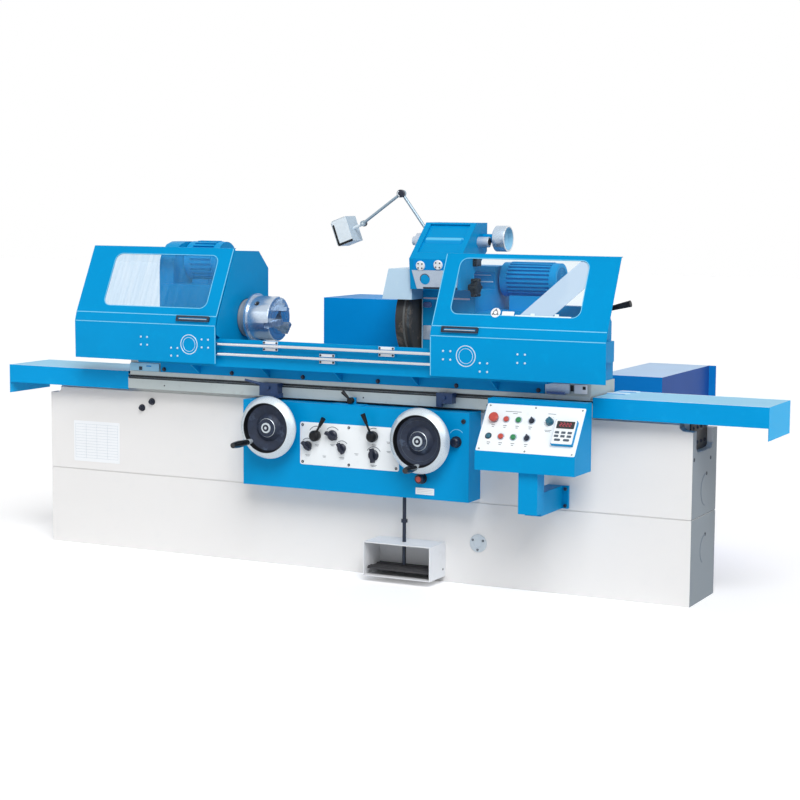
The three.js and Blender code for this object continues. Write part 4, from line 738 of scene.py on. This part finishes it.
for body, door in DOORS.items():
    spots = [(u + du, z - DOOR_FOOT + dv) for u, z in door["bolts_at"]
             for du in (-16.5, 16.5) for dv in (-17.5, 17.5)]
    piece(body + "_bolts", body, [([spun(door_low, *spot, bolt, 14) for spot in spots], "bolt_white")])
    x0, x1 = door["span"]
    piece(body + "_creases", body, [
        (plate(door_low, x0 + 2, x1 - 2, 166, 169.4, 1.2, 0.5, -0.4, 2), "highlight_cyan"),
        (plate(door_slope, x0 + 2, x1 - 2, -1.5, 2.0, 1.2, 0.5, -0.4, 2), "highlight_cyan"),
    ])
    u, z = door["ring_at"]
    piece(body + "_ring", body, [
        (flat_ring(door_low, u, z - DOOR_FOOT, 40.5, 44.5, -0.3, 0.8, 48), "bolt_white"),
        (flat_ring(door_low, u, z - DOOR_FOOT, 30, 32, -0.3, 0.8, 40), "bolt_white"),
    ])
    x0, x1 = door["handle"]
    middle = 26.9
    outer = rounded_outline(x0 - 0.6, x1 + 0.6, middle - 13.2, middle + 13.2, 3, 3)
    inner = rounded_outline(x0 + 9, x1 - 9, middle - 5.2, middle + 5.2, 2, 3)
    piece(body + "_handle", body, [
        (frame_slab(door_mid, outer, inner, 0.05, 9.8), "navy_plastic"),
        (plate(door_mid, x0 + 12, x1 - 14, middle - 2, middle + 1.6, 1.5, 5.2, 3.6, 3), "print_pale"),
    ])
    x0, x1 = door["bright_edge"]
    piece(body + "_edge", body, [
        (plate(door_slope, x0, x1, 2.5, 327, 1.2, 0.5, -0.4, 2), "highlight_cyan"),
        (plate(door_low, x0, x1, 3, 164, 1.2, 0.5, -0.4, 2), "highlight_cyan"),
    ])
    u0, u1, v0, v1 = door["window"]
    outer = rounded_outline(u0 - 3, u1 + 3, v0 - 3, v1 + 3, 37, 8)
    inner = rounded_outline(u0, u1, v0, v1, 34, 8)
    piece(body + "_window_edge", body, [(frame_slab(door_slope, outer, inner, -0.4, 0.7), "highlight_cyan")])

# Chuck: rings on the face, key sockets round it painted black as the shade in their holes; nose ring of the
# workhead, grey as steel and as painted shade beside the chuck
SPINDLE_AT = (-65, 1088)
chuck_face = right(-388)
piece("chuck_rings", "chuck", [
    ([flat_ring(chuck_face, *SPINDLE_AT, r, r + 1.2, -0.4, 0.35, 64) for r in (44, 66, 88)], "dark_metal"),
])
sockets = []
for angle in (16, 136, 256):
    dy, dz = math.cos(math.radians(angle)), math.sin(math.radians(angle))
    place = Place((-458, *SPINDLE_AT), (1, 0, 0), (0, dz, -dy))
    sockets.append(spun(place, 0, 0, [(8.7, 70.5), (8.7, 90), (5, 90.4), (5, 84)]))
    sockets.append(flat_ring(place, 0, 0, 9.2, 12, 96, 100.2, 28))
piece("chuck_key_sockets", "chuck", [(sockets, "black_plastic")])
nose = [(80.3, 0), (84, 0), (84, 6), (81.4, 8), (81.4, 42.6), (80.3, 43.2)]
piece("workhead_nose_ring", "swivel_table", [
    (ring(right(-552), *SPINDLE_AT, nose, 64), "cast_grey"),
])

# Grinding wheel: a grey band and a dark band round the rim
WHEEL_AT = (295, 1088)
piece("wheel_bands", "grinding_wheel", [
    (ring(right(0), *WHEEL_AT, [(199.4, x0), (200.5, x0 + 0.4), (200.5, x1), (199.4, x1 + 0.4)], 96), look)
    for x0, x1, look in ((148, 157, "band_grey"), (168, 181, "slot_black"))
])

# Lamp: black lens frame and pale strip on the head, caps of the wrist and the elbow
LAMP_TURN = math.radians(20)
shade = Place((-264, 296, 1473), (math.cos(LAMP_TURN), 0, math.sin(LAMP_TURN)),
              (-math.sin(LAMP_TURN), 0, math.cos(LAMP_TURN)))
lens_frame = [(-39.6, -59.6), (39.6, -59.6), (39.6, -49), (-30, -49), (-30, 40), (-39.6, 40)]
piece("lamp_head_trim", "lamp_head", [
    (slab(shade, lens_frame, -0.6, 0.9), "black_plastic"),
    (plate(shade, -34, 34, 57.5, 59.8, 1, 0.6, -20, 2), "print_pale"),
])
wrist, wrist_at = front(338), (-174, 1509)
piece("lamp_wrist_trim", "lamp_head", [
    (spun(wrist, *wrist_at, [(13, -9), (13, 1.2), (11.5, 2.0)], 28), "lamp_shell"),
    (spun(wrist, *wrist_at, [(6.6, 1.5), (6.6, 3.2), (5.6, 3.6)]), "black_plastic"),
    (flat_ring(wrist, *wrist_at, 12.4, 14, -10, 1.6, 32), "navy_plastic"),
])
elbow, elbow_at = front(324), (19, 1646)
piece("lamp_elbow_trim", "lamp_upper_arm", [
    (spun(elbow, *elbow_at, [(17.8, -13), (17.8, 1.4), (15.4, 2.6)], 32), "navy_plastic"),
    (arc_band(elbow, *elbow_at, 12.5, 4, 120, 260, 2.0, 3.8), "lamp_shell"),
])

# Table: clamp plate at the left end, blocks at the right end, dark slot, marks
piece("table_clamp_plate", "swivel_table", [
    (plate(table_front, -1079, -921, 838, 874, 7, 3), "arm_cyan"),
    (plate(table_front, -1030, -1011, 841, 858, 3, 4, 2.5, 3), "navy_plastic"),
    (plate(table_front, -990, -962, 858, 864, 2, 3.6, 2.5, 3), "deep_blue"),
], bevel=0.5)
piece("table_end_blocks", "swivel_table", [
    (plate(table_front, 959, 1066, 843, 884, 3, 4), "arm_silver"),
    (plate(table_front, 967, 1047, 838.5, 850, 2, 9), "block_violet"),
    (plate(table_front, 1068, 1084, 853, 878, 2, 2), "black_plastic"),
    (plate(table_front, 1086, 1142, 845, 882, 3, 4), "label_white"),
    (plate(table_front, 1122, 1136, 862, 876, 2, 4.6, 3.5), "black_plastic"),
], bevel=0.5)
piece("table_slot_floor", "table", [
    (plate(front(-208), -1088, 1162, 807.4, 817.6, 0.4, 0.25, -0.3, 2), "slot_black"),
    (plate(table_front, -1088, 1162, 800.5, 806.8, 0.4, 0.2, -0.4, 2), "slot_black"),
])
piece("table_marks", "table", [
    ([spun(table_front, u, 776, [(3.4, SUNK), (3.4, 0.6), (2, 0.8)], 16) for u in (-895, 120, 700)],
     "navy_plastic"),
])

# Trays: painted highlights along the borders of the tops; low handles on the right one, drawn as painted
# highlights with a painted shade strip beside each
tray_top = top(833)
for name, x0, x1 in (("tray_right_border", 1172, 1889), ("tray_left_border", -1762, -1098)):
    piece(name, "table", [
        ([plate(tray_top, x0, x1, y, y + 5, 1, 0.6, -0.3, 2) for y in (-219, 78)], "highlight_white"),
    ])
piece("tray_right_handles", "table", [
    ([slab(tray_top, [(1160, -42), (1240, -42), (1254, -24), (1172, -24)], -0.4, 4),
      slab(tray_top, [(1180, 48), (1256, 48), (1266, 66), (1190, 66)], -0.4, 4)], "highlight_white"),
    ([slab(tray_top, [(1160, -50), (1240, -50), (1240, -43), (1160, -43)], -0.4, 1),
      slab(tray_top, [(1180, 40), (1256, 40), (1256, 47), (1180, 47)], -0.4, 1)], "deep_blue"),
])

# Internal arm: a slightly darker plate as painted shade in the recess, and its round bar with a painted
# highlight on top; two flange discs, silver plate with a blue disc
arm_face = Place((0, 60, 1232), (1, 0, 0), (0, -15, 133))
discs, dots = [], []
for u, v in ((258, 104), (343, 109)):
    discs.append(spun(arm_face, u, v, [(21, SUNK), (21, 5), (18, 7), (6, 7.2)], 36))
    for dot_u, dot_v in around(u, v, 13, (0.7, 2.3, 3.9, 5.4)):
        dots.append(spun(arm_face, dot_u, dot_v, [(3.2, 6), (3.2, 8.4), (2, 8.8)], 12))
arm_bar = [(18.2, 0), (26, 7.8), (26, 178.2), (18.2, 186)]
arm_plate = [(215, 84), (236, 3), (266, 3), (266, 11), (428, 13), (440, 86)]
piece("arm_front_trim", "internal_arm", [
    # A slightly darker plate where the recess lies: painted shade
    (plate(arm_face, 222, 436, 86, 130, 6, 0.8), "deep_blue"),
    (spun(right(232), 154, 1430, arm_bar, 32), "arm_bulge"),
    (discs, "label_white"),
    (dots, "navy_plastic"),
    (slab(arm_face, arm_plate, -0.4, 3), "arm_silver"),
    (spun(arm_face, 277, 46, [(24, 2.6), (24, 3.4), (22, 3.8)], 40), "motor_paint"),
    (arc_band(arm_face, 277, 46, 22, 4, 20, 200, 3.0, 4.2, 18), "print_grey"),
    (plate(arm_face, 266, 430, 3, 10.6, 1, 1.2, -0.4, 2), "navy_plastic"),
])

# Beside the arm: end of the spindle, drum and lining of the pulley cup, hinge knob and block
spindle_end, spindle_at = right(498), (240, 1437)
# The centre hole is a shallow black dish: painted shade in the hole
centre_hole = [(14, SUNK), (14, 0.6), (12, 0.9), (12, 0.5), (5, 0.4)]
piece("internal_spindle_end", "internal_spindle", [
    (spun(spindle_end, *spindle_at, centre_hole, 32), "black_plastic"),
    (flat_ring(spindle_end, *spindle_at, 14.5, 21, -0.4, 1.2), "chrome"),
])
cup_at = (300, 1452)
drum = [(20.4, 505.8), (53, 505.8), (56.9, 509), (56.9, 561), (56.2, 562.6), (56.2, 531), (20.4, 529)]
lining = [(50.4, 562.8), (50.4, 537.4), (20.4, 516.2), (20.4, 514.6), (51.3, 536.4), (51.3, 562.8)]
piece("internal_arm_pulley_sleeve", "internal_arm", [
    (ring(right(0), *cup_at, drum, 56), "cup_steel"),
    (ring(right(0), *cup_at, lining, 56), "arm_cyan"),
    (flat_ring(right(563), *cup_at, 50.4, 56.9, SUNK, 0.8, 56), "label_white"),
])
hinge, hinge_at = right(447), (142, 1242)
knob = [(14, -1), (14, 14), (32, 18), (36, 26), (36, 40), (28, 47), (12, 48)]
lobe = [(7, 19), (8, 24), (8, 42), (6, 46)]
piece("arm_hinge_knob", "internal_arm", [
    (spun(hinge, *hinge_at, knob, 28), "black_plastic"),
    ([spun(hinge, *spot, lobe, 14) for spot in circle_outline(*hinge_at, 37, 6)], "black_plastic"),
    (plate(hinge, 178, 234, 1332, 1378, 5, 16), "black_plastic"),
    (plate(hinge, 186, 226, 1340, 1370, 3, 17, 15.5), "navy_plastic"),
])

# Wheelhead: bars and blocks on the front, painted highlight lines on the housing
head_front = front(187)
piece("wheelhead_front_trim", "wheelhead", [
    (plate(head_front, 206, 300, 1183, 1191, 2, 2, steps=3), "pale_pink"),
    (plate(head_front, 346, 432, 1184, 1192, 2, 2, steps=3), "pale_pink"),
    (plate(head_front, 207, 247, 1146, 1169, 9, 6), "block_violet"),
    (plate(head_front, 206, 254, 1004, 1066, 4, 2), "arm_silver"),
    (plate(head_front, 300, 345, 1180, 1222, 3, 1.5), "deep_blue"),
], bevel=0.4)
piece("wheelhead_housing_trim", "wheelhead", [
    ([plate(front(400), 340, 436, 1284, 1287, 1, 0.8, -0.4, 2),
      plate(front(400), 340, 448, 1254, 1259, 1, 0.8, -0.4, 2)], "highlight_white"),
])

# Right window: plain round plate and label at its lower edge, with painted highlights there: two short marks
# and an edge strip
disc_at = (764, 68)
dot = [(3, 1.3), (3, 2.0), (2, 2.2)]
piece("door_right_window_plates", "door_right", [
    (spun(door_slope, *disc_at, [(21, -0.4), (21, 1.2), (19, 1.6), (8, 1.6)], 40), "label_white"),
    (flat_ring(door_slope, *disc_at, 8, 11, 1.4, 2.2, 28), "navy_plastic"),
    ([spun(door_slope, *spot, dot, 12) for spot in around(*disc_at, 14, (1.57, 3.7, 5.7))],
     "navy_plastic"),
    (plate(door_slope, 793, 846, 57, 75, 2, 1.2, -0.4), "label_white"),
    ([plate(door_slope, u - 9, u + 9, 61, 70, 2, 1.2, -0.4, 3) for u in (927, 1032)], "highlight_white"),
    (plate(door_slope, 851, 1095, 56, 61, 1.5, 0.9, -0.4, 2), "highlight_white"),
])

# Back and sides: cover plates with screws, louvres, cabinet door, tank fittings, motor grille
rear_face, bed_back = back(1000), back(160)
bed_plates, bed_screws = [], []
for place, u0, u1, v0, v1 in ((rear_face, -820, -260, 90, 420), (rear_face, -160, 360, 90, 420),
                              (bed_back, 560, 1440, 400, 620), (bed_back, -1440, -980, 400, 620)):
    lid, heads = cover(place, u0, u1, v0, v1)
    bed_plates.append(lid)
    bed_screws += heads
bed_plates += louvres(rear_face, -700, -380, 300, 6) + louvres(rear_face, -60, 260, 300, 6)
piece("bed_rear_covers", "base", [(bed_plates, "white_paint")], bevel=0.5)
drain = [(16, -1), (16, 8), (12, 11), (12, 16), (6, 17)]
piece("bed_rear_screws", "base", [
    (bed_screws, "navy_plastic"),
    ([spun(rear_face, u, 40, drain, 6) for u in (-700, 300)], "cast_grey"),
])
cabinet_back, cabinet_side = back(760), left(-415)
door_seam = rounded_outline(-30, 400, 722, 1138, 6), rounded_outline(-26, 396, 726, 1134, 5)
piece("cabinet_door", "base", [
    (frame_slab(cabinet_back, *door_seam, -0.4, 0.9), "seam_blue"),
    (louvres(cabinet_back, 60, 310, 750, 5) + louvres(cabinet_back, 60, 310, 1040, 4), "deep_blue"),
    (louvres(cabinet_side, -660, -500, 760, 6), "deep_blue"),
    ([plate(cabinet_back, 392, 404, v, v + 60, 3, 6, steps=3) for v in (770, 1030)], "dark_metal"),
    (spun(cabinet_back, 4, 930, [(15, SUNK), (15, 4), (12, 6), (7, 6)], 28), "wheel_metal"),
    (plate(cabinet_back, 1, 7, 918, 942, 1.5, 9, 5.5, 3), "black_plastic"),
], bevel=0.4)
tank_side = right(1195)
lid, heads = cover(tank_side, 640, 1140, 120, 420)
gauge_glass = rounded_outline(1038, 1062, 170, 290, 9)
piece("tank_fittings", "base", [
    ([lid] + louvres(tank_side, 720, 960, 300, 5), "tank_blue"),
    (heads, "navy_plastic"),
    (frame_slab(tank_side, rounded_outline(1030, 1070, 160, 300, 12), gauge_glass, 2, 6), "wheel_metal"),
    (slab(tank_side, gauge_glass, 2, 4), "arm_cyan"),
    (spun(tank_side, 700, 60, [(20, -1), (20, 10), (15, 14), (15, 20), (8, 21)], 6), "brass"),
], bevel=0.4)
head_back = back(640)
lid, heads = cover(head_back, -480, -250, 900, 1110)
piece("wheelhead_rear_cover", "wheelhead", [
    ([lid] + louvres(head_back, -430, -300, 1000, 4), "head_blue"),
    (heads, "navy_plastic"),
], bevel=0.4)
fan_end, fan_at = right(740), (492, 1266)
piece("wheel_motor_grille", "wheelhead", [
    ([flat_ring(fan_end, *fan_at, r, r + 4, -0.4, 1.4, 48) for r in (18, 30, 42, 54)], "seam_blue"),
    (spun(fan_end, *fan_at, [(10, SUNK), (10, 2), (8, 3), (4, 3)]), "navy_plastic"),
])
belt_cover = left(-980)
spots = [(-10, 1020), (96, 1060), (108, 1250), (-100, 1260), (60, 1395), (-60, 1390)]
piece("workhead_belt_cover_trim", "swivel_table", [
    (louvres(belt_cover, -60, 60, 1180, 7), "blue_paint"),
    (screws(belt_cover, spots, 6, 4.5), "navy_plastic"),
])

# Floor: pale and plain; only for the camera it glows a little, so that it fades into the white behind
floor_mesh = bpy.data.meshes.new("floor")
floor_made = bmesh.new()
bmesh.ops.create_grid(floor_made, x_segments=4, y_segments=4, size=30)
floor_made.to_mesh(floor_mesh)
floor_made.free()
floor = bpy.data.objects.new("floor", floor_mesh)
floor_paint = finish("floor_paint", (246, 246, 247), 0.8, spread=0.01, grain=300, bump=0.02)
tree = floor_paint.node_tree
for_camera = tree.nodes.new("ShaderNodeLightPath").outputs["Is Camera Ray"]
glow = node(tree, "ShaderNodeEmission", Color=(1.0, 1.0, 1.0, 1.0),
            Strength=calculated(tree, "MULTIPLY", for_camera, 0.2))
total = tree.nodes.new("ShaderNodeAddShader")
plug(tree, total.inputs[0], tree.nodes["Principled BSDF"].outputs["BSDF"])
plug(tree, total.inputs[1], glow.outputs["Emission"])
plug(tree, tree.nodes["Material Output"].inputs["Surface"], total.outputs["Shader"])
floor_mesh.materials.append(floor_paint)
bpy.context.scene.collection.objects.link(floor)


# Light: a soft sun from the right front, and a panel on either side
def light(name, kind, energy, direction):
    data = bpy.data.lights.new(name, kind)
    data.energy = energy
    item = bpy.data.objects.new(name, data)
    bpy.context.scene.collection.objects.link(item)
    item.rotation_mode = "QUATERNION"
    item.rotation_quaternion = Vector(direction).to_track_quat("-Z", "Y")
    return item


sun = light("key_light", "SUN", 2.3, (-0.38, 0.58, -0.72))
sun.data.angle = 0.6
for name, location, target, size, energy in (
        ("left_panel", (-4.5, -5.0, 2.6), (0, 0, 0.8), (1.2, 4.0), 18),
        ("right_panel", (6.5, -3.0, 3.0), (0.4, 0, 0.8), (1.6, 3.0), 32)):
    soft_panel = light(name, "AREA", energy, Vector(target) - Vector(location))
    soft_panel.location = location
    soft_panel.data.shape = "RECTANGLE"
    soft_panel.data.size, soft_panel.data.size_y = size

# World: even light, but pure white where the camera or a shiny or clear surface looks straight into it
world = bpy.data.worlds.new("studio")
bpy.context.scene.world = world
world.use_nodes = True
tree = world.node_tree
tree.nodes.clear()
even = node(tree, "ShaderNodeBackground", Color=(1.0, 1.0, 1.0, 1.0), Strength=0.34)
plain = node(tree, "ShaderNodeBackground", Color=(1.0, 1.0, 1.0, 1.0), Strength=1.0)
path = tree.nodes.new("ShaderNodeLightPath")
seen_white = path.outputs["Is Camera Ray"]
for ray in ("Is Glossy Ray", "Is Transmission Ray"):
    seen_white = calculated(tree, "MAXIMUM", seen_white, path.outputs[ray])
chosen = tree.nodes.new("ShaderNodeMixShader")
plug(tree, chosen.inputs[0], seen_white)
plug(tree, chosen.inputs[1], even.outputs["Background"])
plug(tree, chosen.inputs[2], plain.outputs["Background"])
plug(tree, tree.nodes.new("ShaderNodeOutputWorld").inputs["Surface"], chosen.outputs["Shader"])
bpy.context.scene.view_settings.view_transform = "Standard"
